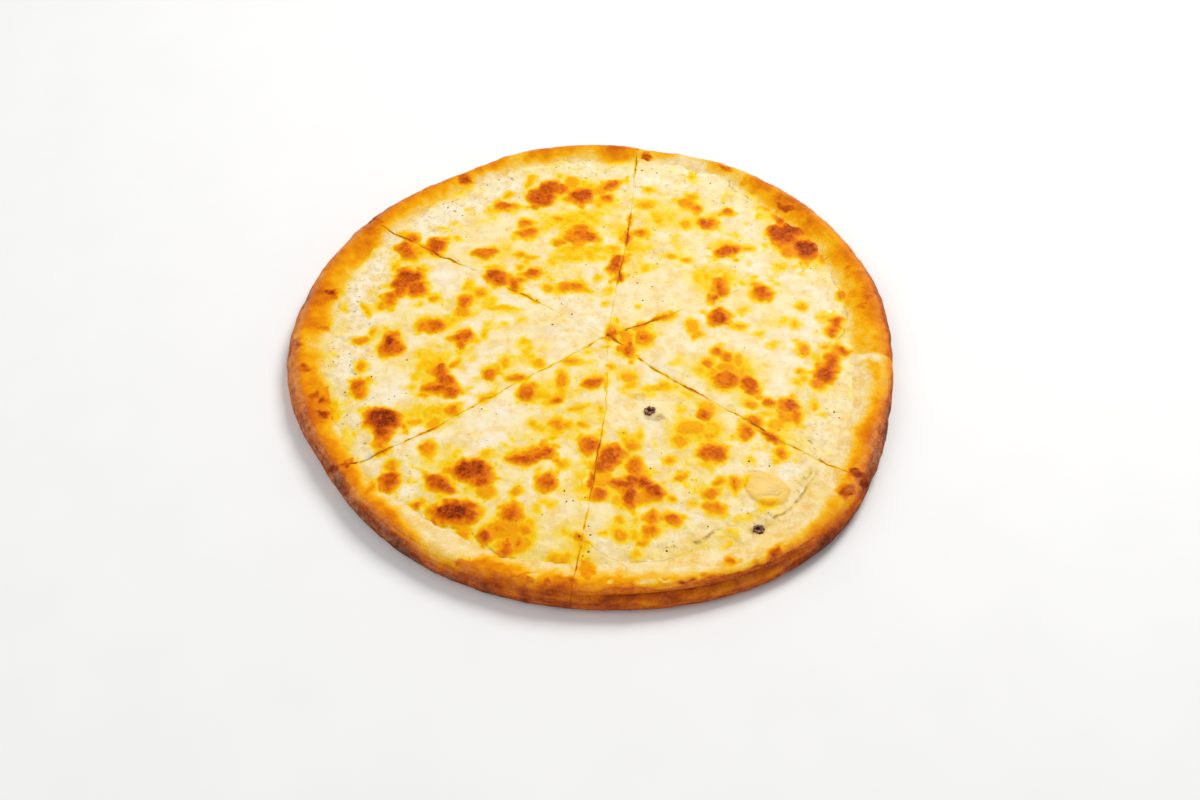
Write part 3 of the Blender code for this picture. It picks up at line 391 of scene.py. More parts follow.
def uneven_radius(ring, angle):
    """Where a point of the true round goes, so that rim and cheese get their own outlines."""
    outline = around(OUTLINE, angle)
    floor = around(CHEESE_EDGE, angle) + RIM_CLEARANCE
    inner = (ring - STEADY_RADIUS) / (FLOOR_RADIUS - STEADY_RADIUS)
    outer = (ring - FLOOR_RADIUS) / (RIM_RADIUS - FLOOR_RADIUS)
    return np.where(ring <= STEADY_RADIUS, ring,
                    np.where(ring <= FLOOR_RADIUS, STEADY_RADIUS + inner * (floor - STEADY_RADIUS),
                             floor + outer * (outline - floor)))


def true_ring(radius, angle):
    """The other way round: which ring of the true round a point lies on."""
    outline = around(OUTLINE, angle)
    floor = around(CHEESE_EDGE, angle) + RIM_CLEARANCE
    steady, flat, rim = STEADY_RADIUS, FLOOR_RADIUS, RIM_RADIUS
    inner = steady + (radius - steady) * (flat - steady) / (floor - steady)
    outer = flat + (radius - floor) * (rim - flat) / (outline - floor)
    return np.where(radius <= steady, radius, np.where(radius <= floor, inner, outer))


def wave(x, y):
    """The slow rise and fall of the baked dough."""
    points = zip((x / WAVE_SIZE).ravel(), (y / WAVE_SIZE).ravel())
    heights = np.fromiter((noise.noise((u, v, WAVE_SLICE)) for u, v in points), float, x.size)
    return WAVE_HEIGHT * heights.reshape(x.shape)


def fold(angle, height):
    """How far the crease in the front of the rim takes a point of its side in and up."""
    share = (np.degrees(angle) % 360 - FOLD_START) / (FOLD_END - FOLD_START)
    strength = np.sqrt(np.sin(math.pi * np.clip(share, 0, 1)))
    inward = strength * FOLD_DEPTH * np.exp(-((height - FOLD_HEIGHT) / FOLD_HALF_HEIGHT) ** 2)
    side = np.sin(math.pi * np.clip(height / CREST_HEIGHT, 0, 1))
    return inward, strength * FOLD_RUN * (0.5 - share) * side


# ---------------------------------------------------------------- the six slices

CENTRED_RADIUS = 70  # inside this the rings of a slice draw in towards the crossing
COLUMNS = 240  # points across a slice
EDGE_COLUMNS = (0, 0.25, 0.55, 0.9, 1.4, 2.0, 2.8)  # mm from a cut, closer together than elsewhere
CUT_APART = 17  # each cut reads its own part of the noise, so many mm from the one before
PAST_RIM = 12  # mm that a cut is drawn past the rim
NARROW = 20  # mm; where a slice is narrower, its edge columns are drawn together
TIP_RADIUS = 0.7  # where a slice's tip is cut off
LEAST_GAP = 0.002  # mm from the middle of a cut to its sides where it is closed
LINE_POINTS = 900  # points along a cut when it is drawn
CENTRING_STEPS = 12  # tries in finding which drawn-in ring a point lies on


def ring_centre(ring):
    """Rings are centred on the crossing of the cuts at the tips, and on the pizza further out."""
    return CROSSING[:, None] * (1 - ease(np.asarray(ring, float) / CENTRED_RADIUS))


def stands_open(out, cut):
    """How far a cut gapes along its way: closed here by melted cheese, and fully open there."""
    gape = 0.5 + bumps(out, 0 * out + CUT_APART * cut, (1.4, 4.2, 35), (0.5, 1.6, 36))
    return 0.55 * np.clip(gape, 0, 1.2)


def at_tenths(table, share):
    """A value between those that a table gives at every tenth of the way."""
    return np.interp(share, np.linspace(0, 1, 11), table)


def side_of_slice(cut, inward):
    """Where each ring meets one side of a cut: rings, and the angles about their centres."""
    end, bows = CUTS[cut]
    angle = math.radians(end)
    reach = float(around(OUTLINE, np.array(angle)))
    way = np.array((math.cos(angle), math.sin(angle))) * reach - CROSSING
    length = float(np.hypot(*way))
    way /= length
    left = np.array((-way[1], way[0]))
    out = np.linspace(0, length + PAST_RIM, LINE_POINTS)
    share = out / length
    beside = out * 0 + CUT_APART * cut
    gap = at_tenths(CUT_GAPS[cut], share) * stands_open(out, cut)
    wander = bumps(out, beside, (0.5, 6.5, 32), (0.24, 2.1, 33)) * ease(out / 6)
    rough = bumps(out, beside + 5 * inward, (0.25, 1.4, 31)) + bumps(out, beside, (0.3, 3.1, 34))
    offset = along(bows, share) + wander + inward * np.maximum(LEAST_GAP, gap / 2 + gap * rough)
    points = CROSSING[:, None] + way[:, None] * out + left[:, None] * offset
    ring = np.hypot(*(points - CROSSING[:, None]))
    for _ in range(CENTRING_STEPS):
        ring = np.hypot(*(points - ring_centre(ring)))
    far = np.hypot(*points)
    on_true = true_ring(far, np.arctan2(points[1], points[0]))
    ring = np.where(far > STEADY_RADIUS, on_true, ring)
    away = points - ring_centre(ring)
    turned = np.unwrap(np.arctan2(away[1], away[0]))
    rising = np.concatenate(([True], np.diff(np.maximum.accumulate(ring)) > 1e-6))
    good = rising & (ring > 0.5)
    return ring[good], turned[good]


def slice_grid(number, rings):
    """x and y of a slice's points, one row for each ring and one column across the slice.

    Also how far each point is from the nearer cut, in mm.
    """
    first, second = number - 1, number % len(CUTS)
    start_rings, start_angles = side_of_slice(first, 1)
    end_rings, end_angles = side_of_slice(second, -1)
    turns = np.round((start_angles[-1] + 1 - end_angles[-1]) / (2 * math.pi))
    start = np.interp(rings, start_rings, start_angles)
    end = np.interp(rings, end_rings, end_angles + 2 * math.pi * turns)
    width = np.maximum(end - start, 0) * rings
    near = np.array(EDGE_COLUMNS)[None] * np.minimum(1, width / NARROW)[:, None]
    width = width[:, None]
    middle = np.linspace(0, 1, COLUMNS - 2 * len(EDGE_COLUMNS) + 2)[1:-1]
    inner = near[:, -1:] + (width - 2 * near[:, -1:]) * middle[None]
    across = np.concatenate((near, inner, width - near[:, ::-1]), 1)
    angle = start[:, None] + across / np.maximum(rings, 1e-6)[:, None]
    centre = ring_centre(rings)
    radius = uneven_radius(rings[:, None] + 0 * angle, angle)
    x = centre[0][:, None] + radius * np.cos(angle)
    y = centre[1][:, None] + radius * np.sin(angle)
    return x, y, np.minimum(across, width - across)


def sheet(name, rows):
    """A grid of quads, made with Blender's own grid and then free to take any form."""
    bpy.ops.object.select_all(action="DESELECT")
    bpy.ops.mesh.primitive_grid_add(x_subdivisions=COLUMNS - 1, y_subdivisions=rows - 1, size=1)
    made = bpy.context.object
    made.name = made.data.name = name
    return made


def place_points(made, x, y, z):
    """Puts a mesh's points in their places, given in mm."""
    points = np.stack((x.ravel(), y.ravel(), z.ravel()), 1) * MM
    made.data.vertices.foreach_set("co", points.ravel())
    made.data.update()


def store(made, name, values):
    """Keeps one number for each point, which a material reads by its name."""
    layer = made.data.attributes.new(name, "FLOAT", "POINT")
    kept = np.zeros(len(made.data.vertices))
    kept[:values.size] = values.ravel()
    layer.data.foreach_set("value", kept)


# ---------------------------------------------------------------- what the oven did

SPOT_REACH = 14  # mm past its edge that a spot still counts
HEAT_REACH = 3.2  # mm that the heat of a spot spreads
OIL_DEPTH = 0.45  # a spot less baked than this is only oil
DEEP = 0.7  # from here on a spot's core is drawn somewhat paler than its table says
FADE = 0.07  # how much paler a spot gets with each mm past its edge
OIL_TONE = 0.30  # oil is hardly deeper than this


def frayed(x, y, fray):
    """Points moved a little from their places, so that what is drawn at them has a frayed edge."""
    return (x + fray * bumps(x, y, (0.9, 6, 1), (0.6, 2.2, 2)),
            y + fray * bumps(x, y, (0.9, 6, 3), (0.6, 2.2, 4)))


def spots(x, y, table, fray):
    """How toasted each point is by a table of spots, and how much heat they spread round them."""
    wx, wy = frayed(x, y, fray)
    uneven = bumps(x, y, (1, 4, 5), (0.5, 1.8, 6)) - 0.3
    spread = 1.05 + bumps(x, y, (0.6, 5, 10), (0.25, 2, 20))
    toast, warmth = np.zeros_like(x), np.zeros_like(x)
    for middle_x, middle_y, length, width, turn, depth in table:
        reach = max(length, width) + SPOT_REACH
        near = np.nonzero((abs(x - middle_x) < reach) & (abs(y - middle_y) < reach))
        dx, dy = wx[near] - middle_x, wy[near] - middle_y
        share = oval(dx, dy, length, width, turn) + 1e-6
        away = np.hypot(dx, dy) * (1 - 1 / np.maximum(share, 0.15))
        away = np.where(away > 0, away * spread[near], away)
        fade = FADE + (0.085 * depth if depth > OIL_DEPTH else 0)
        core = min(depth, DEEP + 0.74 * (depth - DEEP))
        if depth < OIL_DEPTH:
            core = core + 0.10 * uneven[near]
        toast[near] = np.maximum(toast[near], core - fade * np.maximum(0, away + 1.0))
        heat = 0.34 * depth * min(1, (length * width) ** 0.5 / 3)
        warmth[near] += heat * np.exp(-np.maximum(0, away) / HEAT_REACH)
    grain = bumps(x, y, (0.10, 1.5, 31), (0.07, 3.5, 32))
    return toast + grain * ease((toast - 0.45) / 0.3), warmth


def toasting(x, y):
    """How toasted the cheese is: its blisters, the oil round them, and small flecks between."""
    toast, warmth = spots(x, y, BLISTERS, 1.0)
    wx, wy = frayed(x, y, 1.0)
    pool = np.zeros_like(x)
    for middle_x, middle_y, length, width, turn, strength in POOLS:
        share = oval(wx - middle_x, wy - middle_y, length, width, turn)
        pool = np.maximum(pool, strength * ease((1.25 - share) / 0.9))
    patch = 0.5 + bumps(x, y, (0.5, 7, 14), (0.42, 3, 15), (0.25, 1.4, 16))
    pool = pool * (0.38 + 0.62 * ease(1.15 * patch - 0.05))
    base = 0.07 + bumps(x, y, (0.045, 15, 17), (0.04, 5, 18), (0.02, 2, 19))
    small = bumps(x, y, (1, 3.4, 11), (0.6, 1.6, 12), (0.7, 22, 13))
    fleck = 0.26 * ease((small - 0.75) / 0.9)
    heat = 0.14 * (1 - np.exp(-2.2 * warmth)) * (0.5 + 0.5 * patch)
    soft = base + 0.25 * pool + heat + fleck * (0.4 + pool)
    soft = np.minimum(soft, OIL_TONE + 0.3 * (soft - OIL_TONE))
    return np.maximum(toast, soft) + 0.12 * np.maximum(0, np.minimum(toast, soft))


def cheese_relief(x, y, toast):
    """The uneven skin of the cheese in mm: slow swells, small lumps and raised blisters."""
    swell = bumps(x, y, (0.34, 13, 21), (0.24, 5.5, 22), (0.13, 2.6, 23), (0.06, 1.3, 24))
    blister = 0.50 * ease((toast - 0.40) / 0.35) + 0.25 * ease((toast - 0.75) / 0.25)
    wrinkle = 0.26 * lattice(x, y, 1.9, 25) * ease((toast - 0.5) / 0.4)
    return swell + blister + wrinkle


# By the angle in degrees: how curdled the cheese is near the rim, and where that stops short of it.
CURD_SHARE = (
    (0, 0.6), (40, 0.5), (70, 0.6), (90, 0.9), (110, 0.8), (150, 1.0), (190, 1.0), (230, 0.5),
    (270, 0.3), (290, 0.7), (310, 0.8), (340, 0.7), (359, 0.6),
)
CURD_STOPS = ((285, 0), (300, 1), (350, 1), (358, 0))


def curdled(x, y, ring):
    """How far the cheese has broken into small pale curds, as it has in a band along the rim."""
    degrees = np.degrees(np.arctan2(y, x)) % 360
    band = ease((ring - 100) / 14) * by_angle(CURD_SHARE, degrees)
    stops = 1 - 0.8 * ease((ring - 124) / 6) * np.interp(degrees, *zip(*CURD_STOPS))
    patches = 0.35 * ease(bumps(x, y, (1, 24, 28), (0.5, 9, 29)))
    return np.clip(np.maximum(band * stops, patches) * (1 + 0.5 * lattice(x, y, 8, 30)), 0, 1)


# The blown bubble, and the second swelling on its back: middle, half sizes and turn.
BUBBLE = (79.6, -90.0, 10.4, 9.2, -30)
BUBBLE_HEIGHT = 1.3
BUBBLE_BACK = (79.2, -87.6, 7.6, 6.6)
BACK_HEIGHT = 0.35


def bubble_share(x, y):
    """1 in the middle of the blown bubble, 0 at its foot and outside."""
    middle_x, middle_y, length, width, turn = BUBBLE
    dx = x - middle_x + 1.1 * lattice(x, y, 7, 41)
    dy = y - middle_y + 1.1 * lattice(x, y, 7, 42)
    return np.clip(1 - oval(dx, dy, length, width, turn) ** 2, 0, 1)


def bubble_height(x, y, dome):
    """How far the bubble stands above the cheese: a shell with steep sides and a dented back."""
    middle_x, middle_y, length, width = BUBBLE_BACK
    shell = BUBBLE_HEIGHT * np.sqrt(dome) * ease(dome * 4) * (1 - 0.35 * ease((dome - 0.4) * 2))
    back = ease(3 - 3 * oval(x - middle_x, y - middle_y, length, width))
    return shell + BACK_HEIGHT * back * (dome > 0)


# ---------------------------------------------------------------- crust and cheese of one slice

# By the angle in degrees: how floury the outside of the rim is, and how dark its side is baked.
FLOUR_SHARE = (
    (0, 0.24), (20, 0.45), (60, 0.6), (110, 0.65), (150, 0.9), (190, 0.8), (220, 0.65), (235, 0.4),
    (262, 0.14), (320, 0.22), (332, 0.7),
)
SIDE_BAKE = (
    (0, 0.26), (20, 0.26), (50, 0.20), (66, 0.06), (120, 0.06), (170, 0.1), (205, 0.22),
    (235, 0.32), (262, 0.14), (275, 0.1), (300, 0.14), (312, 0.34), (340, 0.25),
)
# How far painted shade darkens the foot of that side, and at the back how far it is paler.
FOOT_SHADE = (
    (0, 0.15), (25, -0.06), (60, -0.12), (120, -0.14), (180, -0.10), (215, 0.02), (245, 0.15),
)
# How much darker the top of the rim is baked, and how warm the slope up to it.
TOP_BAKE = (
    (0, -0.09), (5, -0.10), (20, -0.07), (42, -0.07), (60, -0.04), (80, -0.03), (95, -0.01),
    (130, -0.01), (180, 0.02), (200, 0.05), (225, 0.05), (262, 0), (340, 0),
)
WARM_SLOPE = (
    (0, 0.05), (60, 0.04), (100, 0.05), (150, 0.06), (180, 0.10), (205, 0.08), (240, 0.05),
    (262, 0.12), (278, 0.07), (290, 0.10), (325, 0.08), (340, 0.05),
)
# Dabs of flour on the front of the rim: middle and half sizes.
FLOUR_DABS = (
    (10.5, -138, 2.5, 1.2), (24, -138.5, 5, 1.5), (-9, -133.5, 5, 2.5), (33, -137.5, 3, 1),
    (-24, -135, 3, 1.2), (50, -131.5, 4, 1.6),
)
# By the angle: how many mm past the crest the front of the rim rolls over, and how brown it is.
ROLL_START = (
    (262, 9), (268, 8), (269, 6.3), (271, 3.5), (274, 1.4), (278, 1.4), (282, 4), (288, 3),
    (293, 2.6), (303, 3), (310, 4), (320, 6),
)
ROLL_BAKE = (
    (262, 0), (268, 0.6), (271, 0.76), (285, 0.76), (292, 0.84), (304, 0.88), (312, 0.8), (320, 0),
)
# The height of the dough at each ring, from its floor up the slope of the rim.
DOUGH_RISE = (
    (0, 7.9), (118, 7.9), (124, 8.5), (129, 9.55), (134, 10.95), (137, 11.85), (140, 12.4),
)
FINE_STEP = 0.55  # mm between rings on the rim
FLOOR_ROWS, ROLL_ROWS, FOOT_ROWS = 32, 26, 13
ROUNDING = 5  # rows over which the corners of the slope are rounded

# In mm past the crest: from where on the skin counts as the underside, and where the rim's own
# fold and streaks end, a little way under it.
SIDE_END = 19
RIM_END = 25
BACK_TOP, FRONT_TOP = 5, 14  # how far down the side the marks of the rim reach, also past the crest
FRONT = (262, 320)  # the angles between which the front of the rim rolls over
SEAM = 356  # the angle at which the rim changes colour, where its streaks begin and end
DEGREE = 2.5  # mm along the rim, roughly
SEEN_LEAN = 0.83  # mm further back that a point seems to lie, as seen, for each mm of height

# The ring past which the rim is baked, by the angle: inside it lies the pale creamy slope.
BAKED_EDGE = (
    (0, 129), (5, 129), (10, 130.5), (15, 133), (22, 136), (30, 135.5), (40, 135), (45, 136),
    (50, 137.5), (55, 140.5), (60, 143.5), (65, 147), (70, 148), (75, 143), (80, 136.5),
    (85, 133.5), (90, 137), (95, 138), (100, 136), (105, 135), (110, 136), (115, 139), (120, 132.5),
    (125, 130.5), (130, 131), (135, 133), (145, 133), (150, 130.5), (165, 130), (170, 132),
    (175, 131.5), (180, 131), (185, 131), (190, 131), (195, 127), (200, 127), (205, 132),
    (210, 131), (215, 129), (220, 132), (230, 132), (235, 137), (240, 139), (245, 140),
    (250, 135.5), (255, 133), (260, 134.5), (265, 133), (270, 133), (275, 138), (280, 138.5),
    (290, 143.5), (295, 145.5), (300, 149.5), (310, 148), (315, 147), (320, 145), (326, 140),
    (330, 137.5), (335, 136), (340, 137), (345, 137.5), (350, 140), (355.5, 142), (356.5, 129),
)


def rim_bake(x, y):
    """How far the rim is baked past its cream slope, by where a point lies on the flat skin."""
    degrees = np.degrees(np.arctan2(y, x)) % 360
    radius = np.hypot(x, y)
    edge = by_angle(BAKED_EDGE, degrees) - 1.1 * y / np.maximum(radius, 1)
    on_edge = edge / np.maximum(radius, 1)
    into = radius - edge + bumps(x * on_edge, y * on_edge, (1.6, 11, 51), (0.7, 4, 52))
    into = into + 0.35 * lattice(x, y, 3, 85)
    patchy = bumps(x, y, (0.14, 14, 53), (0.06, 4, 54), (0.04, 1.8, 50))
    patchy = patchy + by_angle(TOP_BAKE, degrees)
    warm = by_angle(WARM_SLOPE, degrees) * ease((radius - 121) / 8)
    baked = 0.44 * ease((into + 6) / 10.5) + 0.20 * ease((into - 3) / 9)
    return np.maximum(warm, baked) + patchy * ease((into + 3) / 6)


def arc(steps, inset, rise, start, end):
    """A quarter round of the rim's section, on or under its belly: rings and heights."""
    turn = np.linspace(start, end, steps)
    return RIM_RADIUS - inset * (1 - np.cos(turn)), BELLY_HEIGHT + rise * np.sin(turn)


def dough_section():
    """(ring, height, mm past the crest) from the tip over the rim and back under it to the tip."""
    crest_ring = RIM_RADIUS - CREST_INSET
    rings = np.concatenate((np.linspace(TIP_RADIUS, 117, FLOOR_ROWS),
                            np.arange(118, crest_ring, FINE_STEP)))
    heights = np.interp(rings, *zip(*DOUGH_RISE))
    padded = np.pad(heights, ROUNDING // 2, mode="edge")
    rounded = np.convolve(padded, np.ones(ROUNDING) / ROUNDING, "valid")
    heights[FLOOR_ROWS + 2:] = rounded[FLOOR_ROWS + 2:]
    rise = CREST_HEIGHT - BELLY_HEIGHT
    roll_rings, roll_heights = arc(ROLL_ROWS, CREST_INSET, rise, math.pi / 2, 0)
    step = np.hypot(np.diff(roll_rings), np.diff(roll_heights))
    roll_past = np.concatenate(([0], np.cumsum(step)))
    foot_rings, foot_heights = arc(FOOT_ROWS, SOLE_INSET, -BELLY_HEIGHT, 0, math.pi / 2)
    step = np.hypot(np.diff(foot_rings), np.diff(foot_heights))
    foot_rings, foot_heights = foot_rings[1:], foot_heights[1:]
    foot_past = roll_past[-1] + np.cumsum(step)
    sole_rows = len(rings) + ROLL_ROWS - 1 - len(foot_rings)
    sole_rings = np.linspace(foot_rings[-1], TIP_RADIUS, sole_rows + 1)[1:]
    sole_past = foot_past[-1] + (foot_rings[-1] - sole_rings)
    return (np.concatenate((rings, roll_rings, foot_rings, sole_rings)),
            np.concatenate((heights, roll_heights, foot_heights, 0 * sole_rings)),
            np.concatenate((0 * rings, roll_past, foot_past, sole_past)))


def side_streaks(degrees, past):
    """Fine streaks along the side of the rim, where the dough stretched as it rose."""
    rim_place = (degrees - SEAM) % 360 * DEGREE
    fine = lattice(rim_place / 9, past / 1.3, 1, 68)
    fine = fine + 0.6 * lattice(rim_place / 4, past / 0.8, 1, 69)
    return fine * ease((past - 2) / 4) * (past < RIM_END)


def rolled_front(flat_x, flat_y, degrees, past, streaks):
    """How brown the front of the rim is where it rolled over, and the painted shade in its crease.
    """
    rolled = past - np.interp(degrees, *zip(*ROLL_START)) + 0.5 * lattice(flat_x, flat_y, 4, 67)
    roll = np.interp(degrees, *zip(*ROLL_BAKE), left=0, right=0) + 0.09 * streaks
    # Painted shade darkens the crease where the roll starts; a little below it a band is paler.
    roll = roll + 0.07 * lattice(flat_x, flat_y, 3, 82) + 0.16 * np.exp(-(rolled / 0.9) ** 2)
    return (roll - 0.10 * np.exp(-((rolled - 6.5) / 2) ** 2)) * ease((rolled + 0.6) / 1.6)


def sole_bake(x, y):
    """The patchy brown of the underside."""
    patches = bumps(x, y, (0.28, 14, 55), (0.20, 5, 56), (0.12, 2.2, 70))
    return np.clip(0.28 + patches, 0.12, 1.0)


def crust_of_slice(number):
    """The dough of one slice: a closed wedge with the raised rim, its fold and its rough skin."""
    rings, heights, past = dough_section()
    rows = len(rings)
    made = sheet(f"dough_{number}", rows)
    x, y, off_cut = slice_grid(number, rings)
    rings, z, past = (column[:, None] + 0 * x for column in (rings, heights, past))
    angle, radius = np.arctan2(y, x), np.hypot(x, y)
    on_rim = (rings > RIM_RADIUS - CREST_INSET) & (past < RIM_END)
    inward, upward = fold(angle, z)
    radius = np.where(on_rim, radius - inward, radius)
    z = np.where(on_rim, z + upward, z)
    rise = (around(CREST, angle) - FLOOR_HEIGHT) / (CREST_HEIGHT - FLOOR_HEIGHT)
    z = np.where(z > FLOOR_HEIGHT, FLOOR_HEIGHT + (z - FLOOR_HEIGHT) * rise, z)
    x = np.where(on_rim, radius * np.cos(angle), x)
    y = np.where(on_rim, radius * np.sin(angle), y)
    z = z + wave(x, y) * ease(z / FLOOR_HEIGHT)

    # Where a point lies on the skin when that is unrolled flat, and where it seems to lie as seen.
    crest_radius = uneven_radius(RIM_RADIUS - CREST_INSET + 0 * angle, angle)
    out = np.where(past > 0, crest_radius + past, radius)
    flat_x, flat_y = out * np.cos(angle), out * np.sin(angle)
    degrees = np.degrees(angle) % 360
    seen_y = y + (z - CHEESE_TOP) * SEEN_LEAN
    under = past > SIDE_END
    on_top = (past < np.where(y > 0, BACK_TOP, FRONT_TOP)) & (rings > 120)
    streaks = side_streaks(degrees, past)

    # How far it is baked, with painted shade in creases, at the foot and by the cuts.
    bake_and_shade = 0.07 + bumps(x, y, (0.06, 9, 65), (0.04, 3.4, 66)) + rim_bake(flat_x, flat_y)
    bake_and_shade = bake_and_shade + by_angle(SIDE_BAKE, degrees) * ease((past - 2) / 7) + 0.10 * streaks
    # Painted shade darkens the crease of the fold and the creases along the lip.
    crease_shade = (inward / FOLD_DEPTH) ** 5 * (0.75 + 0.4 * lattice(flat_x, flat_y, 5, 64))
    lip_shade = near_lines(x, seen_y, LIP_SHADE_LINES) * (0.7 + 0.7 * lattice(x, seen_y, 4, 80))
    bake_and_shade = bake_and_shade + (np.interp(degrees, (272, 290), (0.2, 0.5)) * crease_shade + 0.8 * lip_shade) * on_rim
    at_front = on_rim & (degrees > FRONT[0]) & (degrees < FRONT[1])
    roll = rolled_front(flat_x, flat_y, degrees, past, streaks)
    bake_and_shade = np.where(at_front, np.maximum(bake_and_shade, roll), bake_and_shade)
    # Painted shade darkens the foot of the side at the front and right; at the back it is paler.
    bake_and_shade = bake_and_shade + by_angle(FOOT_SHADE, degrees) * ease((past - 8) / 8) * (past > 0)
    marks = np.where(on_top, spots(x, seen_y, RIM_SPOTS, 2.0)[0], 0)
    bake_and_shade = np.maximum(bake_and_shade, marks)
    # Painted shade where the cuts cross the top of the rim, in toast colours.
    bake_and_shade = np.maximum(bake_and_shade, cut_tint_shade(x, y, off_cut) * ((past < SIDE_END) & (rings > 122)))
    bake_and_shade = np.where(under, sole_bake(x, y), bake_and_shade)
    for middle_x, middle_y, length, width in FLOUR_DABS:
        off_x = x - middle_x + 2.2 * lattice(x, seen_y, 3.5, 83)
        off_y = seen_y - middle_y + 1.3 * lattice(x, seen_y, 2.5, 84)
        dab = 0.6 * ease(1.3 - oval(off_x, off_y, length, width))
        bake_and_shade = np.where(on_top, bake_and_shade * (1 - dab), bake_and_shade)

    # How floury it is: the darkest marks are bare.
    flour = by_angle(FLOUR_SHARE, degrees) * ease((out - crest_radius + 1) / 5)
    flour = flour * (0.85 + 0.4 * lattice(flat_x, flat_y, 7, 57))
    flour = flour * (1 - 0.85 * ease((marks - 0.85) / 0.2))
    flour = np.where(under, 0.35 + 0.4 * lattice(x, y, 10, 58), flour)

    # The rough skin of the rim.
    rough = bumps(flat_x, flat_y, (0.22, 6, 59), (0.11, 2.2, 60)) - 0.14
    rough = rough * ease((rings - 116) / 8) + 0.13 * (streaks - 0.4) * (past > 0)
    rough = np.where(under, 0, rough)
    outward = rough * (past > 3)
    z = z + rough * np.where(past > 9, 0.3, 1)
    x, y = x + outward * np.cos(angle), y + outward * np.sin(angle)
    z = np.where(under & (z < 0.6), 0, np.maximum(z, 0))
    place_points(made, np.minimum(x, RIGHT_END), y, z)
    close_walls(made, rows)
    store(made, "bake_and_shade", bake_and_shade)
    store(made, "flour", np.clip(flour, 0, 1))
    # The olive lines of painted shade where the cheese ends on the dough.
    store(made, "shade", shade_lines(x, seen_y) * (past == 0))
    return made


def close_walls(made, rows):
    """Closes both cut faces of a wedge, rung by rung, between its upper skin and its sole."""
    shape = bmesh.new()
    shape.from_mesh(made.data)
    shape.verts.ensure_lookup_table()
    half = rows // 2
    for column in (0, COLUMNS - 1):
        line = [shape.verts[row * COLUMNS + column] for row in range(rows)]
        for step in range(half):
            corners = [line[step], line[step + 1], line[rows - 2 - step], line[rows - 1 - step]]
            corners = list(dict.fromkeys(corners))
            if len(corners) > 2:
                shape.faces.new(corners)
    tip = shape.verts[:COLUMNS]
    tip_under = shape.verts[-COLUMNS:]
    for step in range(COLUMNS - 1):
        shape.faces.new((tip[step], tip[step + 1], tip_under[step + 1], tip_under[step]))
    bmesh.ops.recalc_face_normals(shape, faces=shape.faces)
    shape.to_mesh(made.data)
    shape.free()


CHEESE_RINGS = np.concatenate((np.linspace(TIP_RADIUS, 8, 18), np.arange(8.5, 132, 0.52)))
# How far the cheese has sunk, in mm, at each ring: it thins where it runs out on the rim.
CHEESE_FALL = ((0, 0), (116, 0), (121, 0.15), (125, 0.45), (128, 0.95), (130, 1.5), (132, 2.3))


def cheese_of_slice(number):
    """The melted cheese of one slice, thin where it runs out on the rising dough."""
    made = sheet(f"melted_{number}", len(CHEESE_RINGS))
    x, y, off_cut = slice_grid(number, CHEESE_RINGS)
    rings = CHEESE_RINGS[:, None]
    curds = curdled(x, y, rings)
    toast = toasting(x, y)
    toast = toast + rim_bake(x, y) * ease(1.4 - toast)
    toast = toast - 0.03 * curds * (1 - ease(toast / 0.35))
    # The toast also takes the painted shade along the cuts.
    toast = np.maximum(toast, cut_tint_shade(x, y, off_cut))
    curd = curds * (1 - ease((toast - 0.15) / 0.2))
    fall = np.interp(rings, *zip(*CHEESE_FALL))
    fall = fall * (1 + bumps(x, y, (0.7, 7, 61), (0.35, 2.4, 62)))
    rounded = 0.55 * np.exp(-(off_cut / 0.75) ** 2) + 0.12 * np.exp(-(off_cut / 2.2) ** 2)
    rounded = rounded * np.clip(3 * beside_cut(x, y, CUT_GAPS), 0, 1)
    z = CHEESE_TOP + wave(x, y) + cheese_relief(x, y, toast) - fall - rounded
    z = z + curd * bumps(x, y, (0.30, 3.2, 26), (0.16, 1.6, 27))
    dome = bubble_share(x, y)
    place_points(made, x, y, z + bubble_height(x, y, dome))
    store(made, "toast", toast)
    store(made, "curd", curd)
    store(made, "stain", stained(x, y))
    store(made, "dome", dome)
    store(made, "shade", np.maximum(shade_lines(x, y), cut_shade(x, y, off_cut)))
    drop_walls(made)
    return made


# Where the blue cheese has melted grey into the white round it: middle, half sizes, strength.
STAINS = (
    (28.6, -45.6, 3.0, 3.4, 0.75), (32.5, -49.2, 3.0, 1.8, 0.6), (74.5, -112, 4.0, 4.2, 0.75),
    (77, -108, 3, 3, 0.3), (24, -35.5, 2.6, 2.4, 0.22), (-19, 7, 5, 4, 0.15),
    (-42.8, 118.5, 1.6, 1.2, 0.5),
)
FAINT_RING = (24, -35.5, 2.3)  # where a bubble has burst: middle and radius


def stained(x, y):
    """How grey the cheese is at each point."""
    shift_x, shift_y = lattice(x, y, 2.6, 73), lattice(x, y, 2.6, 74)
    stain = np.zeros_like(x)
    for middle_x, middle_y, length, width, strength in STAINS:
        share = oval(x + 1.2 * shift_x - middle_x, y + 1.2 * shift_y - middle_y, length, width)
        stain = np.maximum(stain, strength * ease(1.3 - share))
    middle_x, middle_y, radius = FAINT_RING
    ring = np.hypot(x - middle_x, y - middle_y) - radius + 0.5 * shift_x
    return np.maximum(stain, 0.32 * np.exp(-(ring / 0.35) ** 2))


# The crumbs of blue cheese: middle, half length, width and height in mm, and turn in degrees.
CRUMBS = ((28.2, -44.4, 2.3, 2.1, 1.0, 35), (74.5, -111.2, 2.5, 2.3, 1.0, 115))
CRUMB_LIFT = 0.1  # how far their middles lie above the skin of the cheese
HOLLOW_DEPTH = 0.9


def cheese_height(x, y):
    """How high the skin of the cheese is at single points."""
    x, y = np.atleast_1d(np.asarray(x, float)), np.atleast_1d(np.asarray(y, float))
    ring = true_ring(np.hypot(x, y), np.arctan2(y, x))
    fall = np.interp(ring, *zip(*CHEESE_FALL))
    return CHEESE_TOP + wave(x, y) + cheese_relief(x, y, toasting(x, y)) - fall


